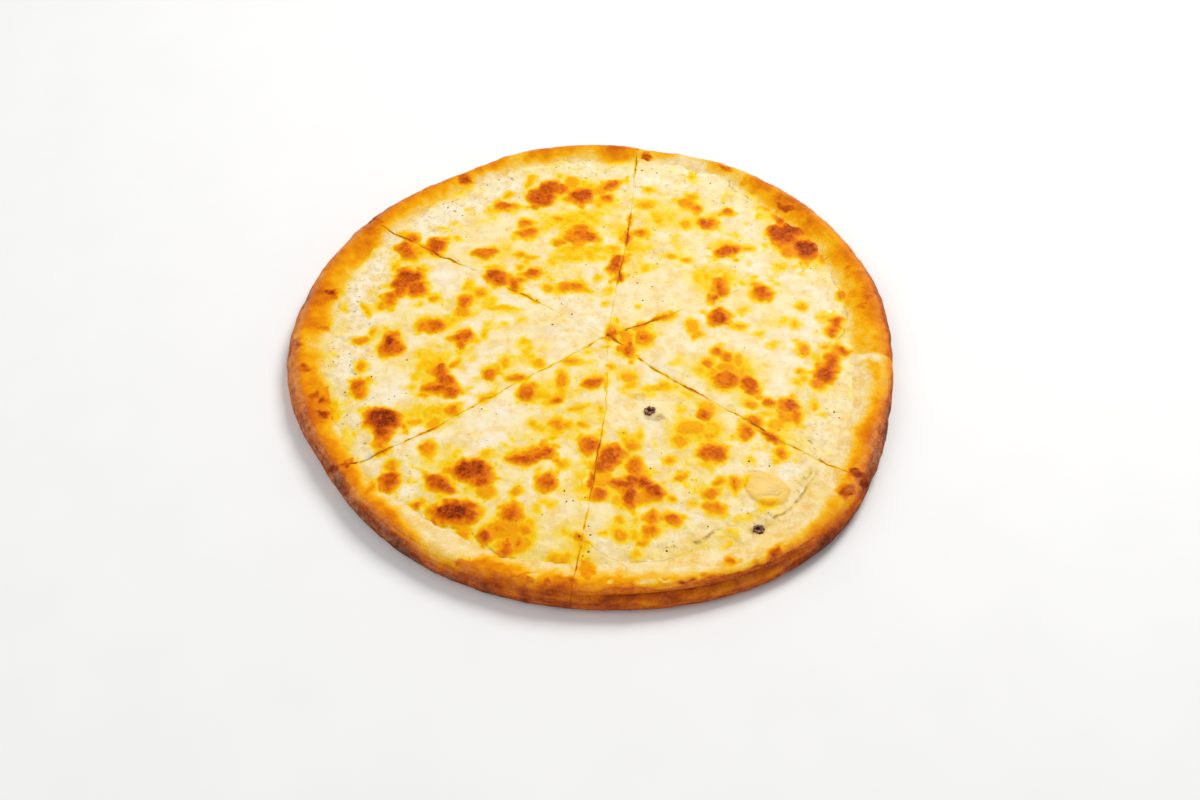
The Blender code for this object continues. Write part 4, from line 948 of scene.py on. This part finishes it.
def blue_crumbs():
    """The two crumbs of blue cheese that lie sunk in one slice, each with a hollow in its top."""
    bpy.ops.object.select_all(action="DESELECT")
    lumps = []
    for middle_x, middle_y, length, width, height, turn in CRUMBS:
        level = float(cheese_height(middle_x, middle_y)[0])
        bpy.ops.mesh.primitive_ico_sphere_add(subdivisions=5, radius=1, location=(0, 0, 0))
        lump = bpy.context.object
        own = Vector((middle_x, 0, 0))
        hollow = []
        for vertex in lump.data.vertices:
            off = math.hypot(vertex.co.x - 0.1, vertex.co.y - 0.05) if vertex.co.z > 0 else 1
            hollow.append(math.exp(-(off / 0.5) ** 2))
            rough = 0.60 * noise.noise(vertex.co * 1.6 + own) + 0.2 * noise.noise(vertex.co * 4)
            vertex.co *= 1 + rough
        hollow = np.array(hollow)
        points = np.array([vertex.co for vertex in lump.data.vertices]) * (length, width, height)
        c, s = math.cos(math.radians(turn)), math.sin(math.radians(turn))
        px = middle_x + points[:, 0] * c - points[:, 1] * s
        py = middle_y + points[:, 0] * s + points[:, 1] * c
        place_points(lump, px, py, level + CRUMB_LIFT + points[:, 2] - HOLLOW_DEPTH * hollow)
        store(lump, "hollow", hollow)
        lumps.append(lump)
    return joined(lumps, "blue_cheese_crumbs")


def joined(objects, name):
    """Makes one object of several."""
    bpy.ops.object.select_all(action="DESELECT")
    for one in objects:
        one.select_set(True)
    bpy.context.view_layer.objects.active = objects[0]
    bpy.ops.object.join()
    made = bpy.context.object
    made.name = made.data.name = name
    return made


PEPPER_SEED = 8
PEPPER_SCATTERED = 170
PEPPER_REACH = 118  # mm from the middle within which the finest grains are scattered
SEEN_SIZES = (0.3, 0.52)  # smallest and largest half size in mm
SCATTERED_SIZES = (0.14, 0.3)
GRAIN_LIFT = 0.05  # mm from the skin of the cheese up to the middle of a grain

# The grains of pepper that stand out, in mm.
PEPPER = (
    (-74, 100.5), (-62.5, 111.5), (-60, 114), (-56, 114), (-56, 117), (-68, 89), (-65, 73),
    (-19, 128), (-12, 130), (-2.5, 119), (28, 126), (33.5, 127.5), (36, 123.5), (45.5, 125.5),
    (50, 122), (51, 117), (57.5, 124), (65, 116), (68.5, 120), (84, 100.5), (113, 50), (120, 43),
    (120, 40.5), (103, 29), (31.5, 36.5), (24, 39), (22, 43), (23.5, 47), (34.5, 53), (26.5, 27),
    (-9, 18), (-18.5, 11), (-104.5, -23.5), (-88.5, -12.5), (-87, -34), (-116, -33), (-116.5, -25),
    (-124, -13.5), (-113.5, -47), (-42.8, 118.5), (-50.5, -43.5), (-11, -91), (-7, -96.5),
    (-10, -97), (0.8, -114.5), (-4, -115.5), (0, -123), (-2.5, -125), (0, -110), (25, -128.5),
    (34, -122.5), (28, -78), (46.5, -84.5), (45, -92), (52.5, -110), (70.5, -103), (73, -74.5),
    (82, -77), (115, -45), (117, -48.5), (47, -23), (-44, 78), (-50, 118.5), (7, 80.5), (-76, 95),
)


def pepper_grains():
    """Cracked pepper: one flake, copied, each copy uneven in its own way and half sunk in."""
    random = np.random.default_rng(PEPPER_SEED)
    turn = random.uniform(0, 2 * math.pi, PEPPER_SCATTERED)
    out = PEPPER_REACH * np.sqrt(random.uniform(0, 1, PEPPER_SCATTERED))
    seen_x, seen_y = zip(*PEPPER)
    x = np.concatenate((seen_x, out * np.cos(turn)))
    y = np.concatenate((seen_y, out * np.sin(turn)))
    half = np.concatenate((random.uniform(*SEEN_SIZES, len(PEPPER)),
                           random.uniform(*SCATTERED_SIZES, PEPPER_SCATTERED)))
    level = cheese_height(x, y)
    bpy.ops.object.select_all(action="DESELECT")
    bpy.ops.mesh.primitive_ico_sphere_add(subdivisions=1, radius=1, location=(0, 0, 0))
    flake = bpy.context.object
    corners = np.array([vertex.co for vertex in flake.data.vertices])
    grains = []
    for px, py, pz, size in zip(x, y, level, half):
        stretch = size * random.uniform(0.7, 1.4, 3) * (1, 1, 0.5)
        chips = random.uniform(0.75, 1.2, (len(corners), 1))
        points = corners * stretch * chips + (px, py, pz + GRAIN_LIFT)
        grain = flake.copy()
        grain.data = flake.data.copy()
        bpy.context.scene.collection.objects.link(grain)
        place_points(grain, *points.T)
        grains.append(grain)
    bpy.data.objects.remove(flake)
    return joined(grains, "pepper_grains")


def beside_cut(x, y, table):
    """What a table says of the nearest cut at each point; a gap is as open as it is there."""
    dx, dy = x - CROSSING[0], y - CROSSING[1]
    angle, out = np.degrees(np.arctan2(dy, dx)) % 360, np.hypot(dx, dy)
    best, found = np.full(x.shape, np.inf), np.zeros(x.shape)
    for cut, values in enumerate(table):
        apart = abs((angle - CUTS[cut][0] + 180) % 360 - 180)
        value = at_tenths(values, out / CUT_LENGTH)
        if table is CUT_GAPS:
            value = value * stands_open(out, cut)
        found = np.where(apart < best, value, found)
        best = np.minimum(apart, best)
    return found


def cut_shade(x, y, off_cut):
    """The thin broken olive line of painted shade where a cut stands open."""
    broken = np.clip(0.6 + 1.1 * lattice(x, y, 2.0, 81), 0, 1)
    return np.clip(3 * beside_cut(x, y, CUT_GAPS), 0, 0.7) * broken * np.exp(-(off_cut / 0.33) ** 2)


def cut_tint_shade(x, y, off_cut):
    """The painted shade along the very edge of a slice, in toast colours and a frayed line."""
    uneven = 0.85 + bumps(x, y, (0.5, 2.4, 75), (0.35, 6, 76))
    width = 0.6 + 0.4 * lattice(x, y, 3, 77)
    return beside_cut(x, y, CUT_TINT_SHADES) * uneven * np.exp(-(off_cut / width) ** 2)


WELD = 0.0005  # mm; points of a sheet that are closer than this become one


def drop_walls(made):
    """Walls from the edge of a sheet down to its flat underside, and the underside itself."""
    bpy.ops.object.mode_set(mode="EDIT")
    shape = bmesh.from_edit_mesh(made.data)
    for face in shape.faces:
        face.select = False
    for edge in shape.edges:
        edge.select = edge.is_boundary
    bpy.ops.mesh.extrude_edges_move()
    shape = bmesh.from_edit_mesh(made.data)
    for vertex in shape.verts:
        if vertex.select:
            vertex.co.z = CHEESE_UNDERSIDE * MM
    bpy.ops.mesh.edge_face_add()
    bpy.ops.mesh.select_all(action="SELECT")
    bpy.ops.mesh.remove_doubles(threshold=WELD * MM)
    bpy.ops.mesh.normals_make_consistent(inside=False)
    bpy.ops.object.mode_set(mode="OBJECT")


# Thin dark lines of painted shade where the cheese ends on the dough and at the foot of the bubble:
# points in mm, then half width and strength.
SHADE_EDGE_LINES = (
    (((75, 118), (76, 113), (80, 109), (85, 103)), 0.45, 0.6),
    (((84, 103), (96, 93), (104, 84)), 0.35, 0.25),
    (((123.5, 47), (125, 38), (127.5, 28), (128.5, 20), (127, 12), (125, 5), (121, 0)), 0.4, 0.5),
    (((119, 52), (118, 45), (121, 36), (119, 27)), 0.35, 0.25),
    (((98, -89), (94, -95), (89, -101), (82, -106)), 0.65, 0.9),
    (((103, -81), (98, -89)), 0.5, 0.35),
    (((70.8, -91.3), (74.7, -94.4), (78.6, -94.1), (84, -93.8), (86.5, -91.3)), 0.4, 0.4),
    (((72.3, -79.8), (76.2, -80.2), (79.6, -81.1), (83, -80.5)), 0.4, 0.3),
    (((102, -77), (99, -83), (94, -87)), 0.5, 0.3),
    (((46.5, -117.7), (50, -116.4), (55, -113.5)), 0.8, 1.1),
    (((55, -112), (60, -110), (64, -109)), 0.5, 0.35),
    (((-4, -116), (5, -124), (17, -129.5), (30, -128), (42, -124)), 0.4, 0.35),
    (((-52, -112), (-47, -118), (-40, -124), (-32, -126.5)), 0.5, 0.6),
    (((-77, -100.5), (-73, -105), (-66, -109), (-58, -111)), 0.45, 0.5),
    (((-108, 72), (-111, 68), (-117, 57)), 0.5, 0.4),
)

# Painted shade in the creases along the lip of the front rim, in the same way.
LIP_SHADE_LINES = (
    (((40, -138.5), (48, -136.5), (56, -135)), 1.3, 0.55),
    (((58, -138), (68, -134.5), (78, -130)), 0.7, 0.3),
)


def near_lines(x, y, lines):
    """How near each point is to a set of bent lines: 1 on a line of full strength, 0 well away."""
    wx, wy = x + 0.8 * lattice(x, y, 3, 71), y + 0.8 * lattice(x, y, 3, 72)
    shade = np.zeros_like(x)
    for points, half_width, strength in lines:
        for (ax, ay), (bx, by) in zip(points, points[1:]):
            length = math.hypot(bx - ax, by - ay)
            ux, uy = (bx - ax) / length, (by - ay) / length
            t = np.clip((wx - ax) * ux + (wy - ay) * uy, 0, length)
            off = np.hypot(wx - ax - t * ux, wy - ay - t * uy)
            shade = np.maximum(shade, strength * np.exp(-(off / half_width) ** 2))
    return shade


def shade_lines(x, y):
    """How strongly a point takes the painted shade of the broken olive lines of the cheese."""
    broken = np.clip(0.8 + bumps(x, y, (0.7, 3.5, 78), (0.4, 1.3, 79)), 0.1, 1.1)
    return np.clip(near_lines(x, y, SHADE_EDGE_LINES) * broken, 0, 0.95)


# Marks baked into the rim, in the same way as the toasted spots of the cheese.
RIM_SPOTS = (
    (103, 95.5, 6, 3, -35, 0.84), (110, 93, 5, 3, -40, 0.6), (84, 118, 4.5, 2.8, 70, 0.5),
    (74, 127, 3, 1.5, -30, 0.85), (31, 136, 2.8, 2, 60, 0.92), (-69, 119, 3.5, 3, 30, 0.9),
    (-115, 86, 3, 2, 55, 1.2), (-131.5, 32, 3, 1.9, -65, 1.05), (-133, 9, 1, 0.7, 0, 1.0),
    (-142.5, -3, 3, 2.4, 90, 0.95), (-137, -16.5, 3, 2.4, 0, 0.86), (-131, -36, 5, 2.2, 70, 0.86),
    (-127, -37.5, 1.6, 1.4, 0, 0.98), (-126, -34, 6, 5.5, 0, 0.55),
    (-124.3, -46, 2.6, 2.0, -40, 1.1), (-120, -46, 4, 2.8, 0, 0.5),
    (-97.5, -91, 2.6, 1.3, 25, 0.74), (-115.5, -79, 3.4, 2.2, 38, 1.2),
    (-111, -76, 3.5, 1.2, 38, 0.9), (-40, -133, 12, 5.5, -14, 0.62), (-52, -131, 7, 4, -25, 0.66),
    (-30, -137, 8, 3.5, -5, 0.68), (-13, -140, 8, 4.5, 0, 0.70), (0, -133, 3.5, 5, 0, 0.56),
    (14, -137, 3.2, 2.8, 0, 0.5), (61.5, -128.5, 1.4, 1.6, 0, 0.72), (71.5, -128.5, 1, 1, 0, 0.75),
    (82, -125, 4.5, 2.2, 70, 0.9), (81, -128, 2, 3.5, 0, 0.98), (54, -138, 6, 1.6, 20, 0.95),
    (116.5, -90, 3.4, 2.0, 35, 0.9), (118.5, -91, 1.5, 1.2, 0, 1.0),
    (122.4, -83, 6.4, 3.0, -50, 1.0), (125, -87.5, 4.4, 2.2, -60, 1.16),
    (137.5, 23.5, 2.5, 2, 0, 0.64), (132, 49, 0.9, 0.9, 0, 0.82), (137, -20, 6, 2, 90, 0.45),
)


# ---------------------------------------------------------------- finishes


def add(tree, kind, inputs, output=0, stops=(), **settings):
    """Adds a node with its settings, values and links, and gives back one of its outputs.

    inputs has a value or another node's output for each socket; stops are the colours of a ramp.
    A Mix of colours has its share at 0, the colours at 6 and 7, and gives the mixed one at 2.
    """
    node = tree.nodes.new("ShaderNode" + kind)
    for name, value in settings.items():
        setattr(node, name, value)
    for name, value in inputs.items():
        if isinstance(value, bpy.types.NodeSocket):
            tree.links.new(value, node.inputs[name])
        else:
            node.inputs[name].default_value = value
    for number, (position, colour) in enumerate(stops):
        ramp = node.color_ramp.elements
        stop = ramp[number] if number < 2 else ramp.new(position)
        stop.position = position
        stop.color = hex_colour(colour) if isinstance(colour, str) else (colour, colour, colour, 1)
    return node.outputs[output]


def new_finish(name, roughness, specular):
    """A material with its shader and the place of each point on the object."""
    material = bpy.data.materials.new(name)
    material.use_nodes = True
    tree = material.node_tree
    shader = tree.nodes["Principled BSDF"]
    shader.inputs["Roughness"].default_value = roughness
    shader.inputs["Specular IOR Level"].default_value = specular
    return material, tree, shader, add(tree, "TexCoord", {}, "Object")


TOAST_SCALE = 1.3  # a toast of this much is the end of the colour ramp
# The olive of the lines of painted shade.
SHADE_OLIVE = "A07C10"

# What the oven makes of each: how far it is baked, and its colour.
CHEESE_TONES = (
    (0.00, "FEF1D8"), (0.10, "FDE8B2"), (0.20, "FCDF7A"), (0.30, "FCD630"), (0.38, "FBC802"),
    (0.48, "F9AF02"), (0.58, "F49802"), (0.74, "E97A02"), (0.92, "CE5C02"), (1.06, "B04402"),
    (1.20, "802802"),
)
DOUGH_TONES = (
    (0.00, "FEEFD0"), (0.10, "FDE5AC"), (0.20, "FBDA84"), (0.30, "FCCC4A"), (0.42, "FCB80A"),
    (0.52, "F6A000"), (0.62, "EC8A00"), (0.72, "DE7602"), (0.82, "CC5E04"), (0.92, "B34A04"),
    (1.02, "923404"), (1.20, "5C1C04"),
)


def tone_stops(tones):
    """The stops of a ramp that runs from raw to the darkest toast."""
    return [(depth / TOAST_SCALE, tone) for depth, tone in tones]


def melted_cheese():
    """Mozzarella and cream, baked: a satin skin, cream where wet and brown where blistered."""
    material, tree, shader, place = new_finish("baked_mozzarella", 0.5, 0.06)
    # The toast also carries the painted shade along the cuts.
    toast, curd, dome, shade, stain = (add(tree, "Attribute", {}, "Fac", attribute_name=name)
                                       for name in ("toast", "curd", "dome", "shade", "stain"))

    # Fine mottling, stronger where the skin is toasted, and then from toast to colour.
    fine = add(tree, "TexNoise", {"Vector": place, "Scale": 1 / (1.0 * MM),
                                  "Detail": 3, "Roughness": 0.6})
    fine = add(tree, "Math", {0: fine, 1: 0.5}, operation="SUBTRACT")
    weight = add(tree, "Math", {0: toast, 1: 0.46, 2: 0.03}, operation="MULTIPLY_ADD")
    toast = add(tree, "Math", {0: fine, 1: weight, 2: toast}, operation="MULTIPLY_ADD")
    level = add(tree, "Math", {0: toast, 1: TOAST_SCALE}, operation="DIVIDE", use_clamp=True)
    colour = add(tree, "ValToRGB", {0: level}, stops=tone_stops(CHEESE_TONES))

    # Small golden grains glint where the skin is darkest.
    grains = add(tree, "TexVoronoi", {"Vector": place, "Scale": 1 / (0.8 * MM)}, "Distance")
    grains = add(tree, "ValToRGB", {0: grains}, stops=[(0.14, 0.7), (0.26, 0.0)])
    dark = add(tree, "ValToRGB", {0: level}, stops=[(0.62, 0.0), (0.78, 1.0)])
    share = add(tree, "Math", {0: grains, 1: dark}, operation="MULTIPLY")
    colour = add(tree, "Mix", {0: share, 6: colour, 7: hex_colour("D8841C")}, 2, data_type="RGBA")

    # Pale cheese is beige here and there, with small whiter dots.
    pale = add(tree, "ValToRGB", {0: level}, stops=[(0.12, 1.0), (0.32, 0.0)])
    cloudy = add(tree, "TexNoise", {"Vector": place, "Scale": 1 / (6 * MM),
                                    "Detail": 3, "Roughness": 0.6})
    cloudy = add(tree, "ValToRGB", {0: cloudy}, stops=[(0.36, "F5E2B4"), (0.56, "FFFFFF")])
    share = add(tree, "Math", {0: pale, 1: 0.65}, operation="MULTIPLY")
    colour = add(tree, "Mix", {0: share, 6: colour, 7: cloudy},
                 2, data_type="RGBA", blend_type="MULTIPLY")
    white = add(tree, "TexNoise", {"Vector": place, "Scale": 1 / (2.0 * MM),
                                   "Detail": 3, "Roughness": 0.6})
    white = add(tree, "ValToRGB", {0: white}, stops=[(0.54, 0.0), (0.68, 0.32)])
    share = add(tree, "Math", {0: pale, 1: white}, operation="MULTIPLY")
    colour = add(tree, "Mix", {0: share, 6: colour, 7: hex_colour("FFF4E0")}, 2, data_type="RGBA")

    # Between the curds along the rim, painted shade makes dull olive creases and darker pits.
    crease = add(tree, "TexNoise", {"Vector": place, "Scale": 1 / (2.8 * MM),
                                    "Detail": 3, "Roughness": 0.6})
    crease = add(tree, "ValToRGB", {0: crease}, stops=[(0.36, 0.5), (0.50, 0.0)])
    share = add(tree, "Math", {0: crease, 1: curd}, operation="MULTIPLY")
    colour = add(tree, "Mix", {0: share, 6: colour, 7: hex_colour("DCC07C")}, 2, data_type="RGBA")
    pits = add(tree, "TexNoise", {"Vector": place, "Scale": 1 / (1.9 * MM), "Detail": 1})
    pits = add(tree, "ValToRGB", {0: pits}, stops=[(0.26, 0.7), (0.34, 0.0)])
    share = add(tree, "Math", {0: pits, 1: curd}, operation="MULTIPLY")
    colour = add(tree, "Mix", {0: share, 6: colour, 7: hex_colour("9A8436")}, 2, data_type="RGBA")

    # The blown bubble has a peach back, except where it is toasted.
    ringed = add(tree, "Math", {0: fine, 1: 0.35, 2: dome}, operation="MULTIPLY_ADD")
    # Painted shade darkens the bubble at its foot and a painted highlight makes its top paler.
    blown = add(tree, "ValToRGB", {0: ringed},
                stops=[(0.0, "F4B438"), (0.16, "FACA60"), (0.5, "FCD070"), (0.9, "FED680")])
    bare = add(tree, "ValToRGB", {0: level}, stops=[(0.20, 0.9), (0.28, 0.1)])
    share = add(tree, "ValToRGB", {0: dome}, stops=[(0.0, 0.0), (0.16, 1.0)])
    share = add(tree, "Math", {0: share, 1: bare}, operation="MULTIPLY")
    colour = add(tree, "Mix", {0: share, 6: colour, 7: blown}, 2, data_type="RGBA")

    # Olive painted shade where the cheese ends or a cut stands open, and the grey of blue cheese.
    colour = add(tree, "Mix", {0: shade, 6: colour, 7: hex_colour(SHADE_OLIVE)}, 2, data_type="RGBA")
    smear = add(tree, "Math", {0: fine, 1: 0.9, 2: 0.45}, operation="MULTIPLY_ADD", use_clamp=True)
    smear = add(tree, "ValToRGB", {0: smear},
                stops=[(0.30, "4E2E22"), (0.42, "987848"), (0.6, "CCAE66")])
    colour = add(tree, "Mix", {0: stain, 6: colour, 7: smear}, 2, data_type="RGBA")
    tree.links.new(colour, shader.inputs["Base Color"])

    # Wet and dry patches, some light under the skin, and fine lumps.
    wet = add(tree, "TexNoise", {"Vector": place, "Scale": 1 / (6 * MM)})
    wet = add(tree, "ValToRGB", {0: wet}, stops=[(0.3, 0.36), (0.7, 0.62)])
    tree.links.new(wet, shader.inputs["Roughness"])
    shader.inputs["Subsurface Weight"].default_value = 0.05
    shader.inputs["Subsurface Radius"].default_value = (2.2 * MM, 1.4 * MM, 0.6 * MM)
    shader.inputs["Subsurface Scale"].default_value = 1
    lumps = add(tree, "TexNoise", {"Vector": place, "Scale": 1 / (1.9 * MM), "Detail": 3})
    small = add(tree, "TexNoise", {"Vector": place, "Scale": 1 / (0.8 * MM)})
    height = add(tree, "Math", {0: lumps, 1: 0.7, 2: small}, operation="MULTIPLY_ADD")
    bump = add(tree, "Bump", {"Height": height, "Strength": 0.5, "Distance": 0.3 * MM})
    tree.links.new(bump, shader.inputs["Normal"])
    return material


def baked_dough():
    """Wheat dough baked on stone: matt, cream to brown, with a dry floury bloom on its outside."""
    material, tree, shader, place = new_finish("stone_baked_dough", 0.62, 0.05)
    bake_and_shade, flour, shade = (add(tree, "Attribute", {}, "Fac", attribute_name=name)
                          for name in ("bake_and_shade", "flour", "shade"))

    # Fine mottling and grit, stronger where it is baked, then baking and painted shade to colour.
    fine = add(tree, "TexNoise", {"Vector": place, "Scale": 1 / (1.8 * MM),
                                  "Detail": 4, "Roughness": 0.6})
    fine = add(tree, "Math", {0: fine, 1: 0.5}, operation="SUBTRACT")
    weight = add(tree, "Math", {0: bake_and_shade, 1: 0.26, 2: 0.05}, operation="MULTIPLY_ADD")
    bake_and_shade = add(tree, "Math", {0: fine, 1: weight, 2: bake_and_shade}, operation="MULTIPLY_ADD")
    grit = add(tree, "TexNoise", {"Vector": place, "Scale": 1 / (0.6 * MM), "Detail": 2})
    grit = add(tree, "Math", {0: grit, 1: 0.5}, operation="SUBTRACT")
    weight = add(tree, "Math", {0: bake_and_shade, 1: 0.3}, operation="MULTIPLY")
    bake_and_shade = add(tree, "Math", {0: grit, 1: weight, 2: bake_and_shade}, operation="MULTIPLY_ADD")
    level = add(tree, "Math", {0: bake_and_shade, 1: TOAST_SCALE}, operation="DIVIDE", use_clamp=True)
    colour = add(tree, "ValToRGB", {0: level}, stops=tone_stops(DOUGH_TONES))

    # Pale dough is beige here and there, with small whiter dots.
    pale = add(tree, "ValToRGB", {0: level}, stops=[(0.16, 1.0), (0.34, 0.0)])
    cloudy = add(tree, "TexNoise", {"Vector": place, "Scale": 1 / (7 * MM),
                                    "Detail": 4, "Roughness": 0.65})
    cloudy = add(tree, "ValToRGB", {0: cloudy}, stops=[(0.38, "F3D9A0"), (0.56, "FFFFFF")])
    share = add(tree, "Math", {0: pale, 1: 0.7}, operation="MULTIPLY")
    colour = add(tree, "Mix", {0: share, 6: colour, 7: cloudy},
                 2, data_type="RGBA", blend_type="MULTIPLY")
    white = add(tree, "TexNoise", {"Vector": place, "Scale": 1 / (3 * MM),
                                   "Detail": 3, "Roughness": 0.6})
    white = add(tree, "ValToRGB", {0: white}, stops=[(0.54, 0.0), (0.66, 0.45)])
    share = add(tree, "Math", {0: pale, 1: white}, operation="MULTIPLY")
    colour = add(tree, "Mix", {0: share, 6: colour, 7: hex_colour("FFF3DC")}, 2, data_type="RGBA")

    # Flour clings in patches of small dots.
    dots = add(tree, "TexVoronoi", {"Vector": place, "Scale": 1 / (0.9 * MM)}, "Distance")
    dots = add(tree, "ValToRGB", {0: dots}, stops=[(0.12, 0.8), (0.28, 0.0)])
    dusted = add(tree, "TexNoise", {"Vector": place, "Scale": 1 / (3 * MM),
                                    "Detail": 4, "Roughness": 0.65})
    dusted = add(tree, "ValToRGB", {0: dusted}, stops=[(0.36, 0.0), (0.64, 0.85)])
    bloom = add(tree, "Math", {0: dots, 1: dusted}, operation="ADD")
    bloom = add(tree, "Math", {0: bloom, 1: flour}, operation="MULTIPLY", use_clamp=True)
    share = add(tree, "Math", {0: bloom, 1: 0.62}, operation="MULTIPLY")
    colour = add(tree, "Mix", {0: share, 6: colour, 7: hex_colour("E6BE94")}, 2, data_type="RGBA")
    # Olive painted shade where the cheese ends on the dough.
    colour = add(tree, "Mix", {0: shade, 6: colour, 7: hex_colour(SHADE_OLIVE)}, 2, data_type="RGBA")
    tree.links.new(colour, shader.inputs["Base Color"])

    # Some light under the skin, and a rough dry surface.
    shader.inputs["Subsurface Weight"].default_value = 0.05
    shader.inputs["Subsurface Radius"].default_value = (1.8 * MM, 1.0 * MM, 0.5 * MM)
    shader.inputs["Subsurface Scale"].default_value = 1
    lumps = add(tree, "TexNoise", {"Vector": place, "Scale": 1 / (2.4 * MM),
                                   "Detail": 4, "Roughness": 0.6})
    small = add(tree, "TexNoise", {"Vector": place, "Scale": 1 / (0.6 * MM)})
    height = add(tree, "Math", {0: lumps, 1: 0.8, 2: small}, operation="MULTIPLY_ADD")
    bump = add(tree, "Bump", {"Height": height, "Strength": 0.7, "Distance": 0.5 * MM})
    tree.links.new(bump, shader.inputs["Normal"])
    return material


def blue_mould():
    """Blue-veined cheese, melted: a purple-brown crumb, waxy, with painted shade in its dark
    hollow.
    """
    material, tree, shader, place = new_finish("blue_veined_cheese", 0.5, 0.12)
    mottle = add(tree, "TexNoise", {"Vector": place, "Scale": 1 / (1.3 * MM), "Detail": 3})
    colour = add(tree, "ValToRGB", {0: mottle},
                 stops=[(0.38, "4A2018"), (0.54, "84543E"), (0.66, "BE9874")])
    # The hollow in a crumb's top is painted nearly black, as painted shade.
    hollow = add(tree, "Attribute", {}, "Fac", attribute_name="hollow")
    share = add(tree, "ValToRGB", {0: hollow}, stops=[(0.15, 0.0), (0.6, 1.0)])
    colour = add(tree, "Mix", {0: share, 6: colour, 7: hex_colour("170605")}, 2, data_type="RGBA")
    tree.links.new(colour, shader.inputs["Base Color"])
    return material


def cracked_pepper():
    """Ground pepper: dry brown flakes."""
    material, tree, shader, place = new_finish("ground_pepper", 0.7, 0.3)
    mottle = add(tree, "TexNoise", {"Vector": place, "Scale": 1 / (0.5 * MM)})
    colour = add(tree, "ValToRGB", {0: mottle}, stops=[(0.3, "5A4220"), (0.7, "94743C")])
    tree.links.new(colour, shader.inputs["Base Color"])
    return material


def plain_floor():
    """A smooth pale floor, matt."""
    material, tree, shader, place = new_finish("pale_matt_floor", 0.9, 0.1)
    tone = add(tree, "TexNoise", {"Vector": place, "Scale": 1 / (40 * MM)})
    tone = add(tree, "ValToRGB", {0: tone}, stops=[(0.3, "FAFAF9"), (0.7, "FCFCFB")])
    tree.links.new(tone, shader.inputs["Base Color"])
    return material


def dress(made, material, node=None):
    """Gives a piece its material, its body and slot, and the solid whose place it takes."""
    made.data.materials.clear()
    made.data.materials.append(material)
    made.data.shade_smooth()
    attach(made, "root")
    if node:
        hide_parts(node)


# ---------------------------------------------------------------- light, floor and camera

# Name, place and width in metres, power in watts, and colour.
LIGHTS = (
    ("soft_key", (0.55, 0.75, 1.1), 0.7, 14, (1.0, 0.99, 0.97)),
    ("soft_fill", (-0.9, -0.5, 1.0), 1.2, 4, (0.98, 0.99, 1.0)),
)
SKY_STRENGTH = 0.42
FLOOR_WIDTH = 6
FLOOR_DROP = 0.1 * MM  # how far the floor lies under the pizza
CAMERA_PLACE = (0.00502, -0.4606, 0.5193)
CAMERA_TARGET = (0.00502, -0.02934, 0)
LENS = 42.0
SENSOR_WIDTH = 36


def stand(made, place, target):
    """Puts a lamp or a camera in its place and turns it to its target."""
    made.location = place
    made.rotation_euler = (Vector(target) - Vector(place)).to_track_quat("-Z", "Y").to_euler()
    bpy.context.scene.collection.objects.link(made)


def studio():
    """The floor, the two soft lights and an even white surround."""
    bpy.ops.object.select_all(action="DESELECT")
    bpy.ops.mesh.primitive_plane_add(size=FLOOR_WIDTH, location=(0, 0, -FLOOR_DROP))
    floor = bpy.context.object
    floor.name = "floor"
    floor.data.materials.append(plain_floor())
    for name, place, width, power, colour in LIGHTS:
        data = bpy.data.lights.new(name, "AREA")
        data.shape = "DISK"
        data.size = width
        data.energy = power
        data.color = colour
        stand(bpy.data.objects.new(name, data), place, (0, 0, 0))
    world = bpy.data.worlds.new("studio")
    world.use_nodes = True
    sky = world.node_tree.nodes["Background"]
    sky.inputs["Color"].default_value = (1, 1, 1, 1)
    sky.inputs["Strength"].default_value = SKY_STRENGTH
    bpy.context.scene.world = world
    bpy.context.scene.view_settings.view_transform = "Standard"


def place_camera():
    """The camera that sees the pizza as the photo does."""
    data = bpy.data.cameras.new("camera")
    data.lens = LENS
    data.sensor_width = SENSOR_WIDTH
    camera = bpy.data.objects.new("camera", data)
    stand(camera, CAMERA_PLACE, CAMERA_TARGET)
    bpy.context.scene.camera = camera


def build():
    """The whole pizza on its floor: six slices, the crumbs and the pepper."""
    cheese, dough = melted_cheese(), baked_dough()
    for number in range(1, len(CUTS) + 1):
        dress(crust_of_slice(number), dough, f"crust_{number}")
        dress(cheese_of_slice(number), cheese, f"cheese_{number}")
    dress(blue_crumbs(), blue_mould())
    dress(pepper_grains(), cracked_pepper())
    studio()
    place_camera()


build()
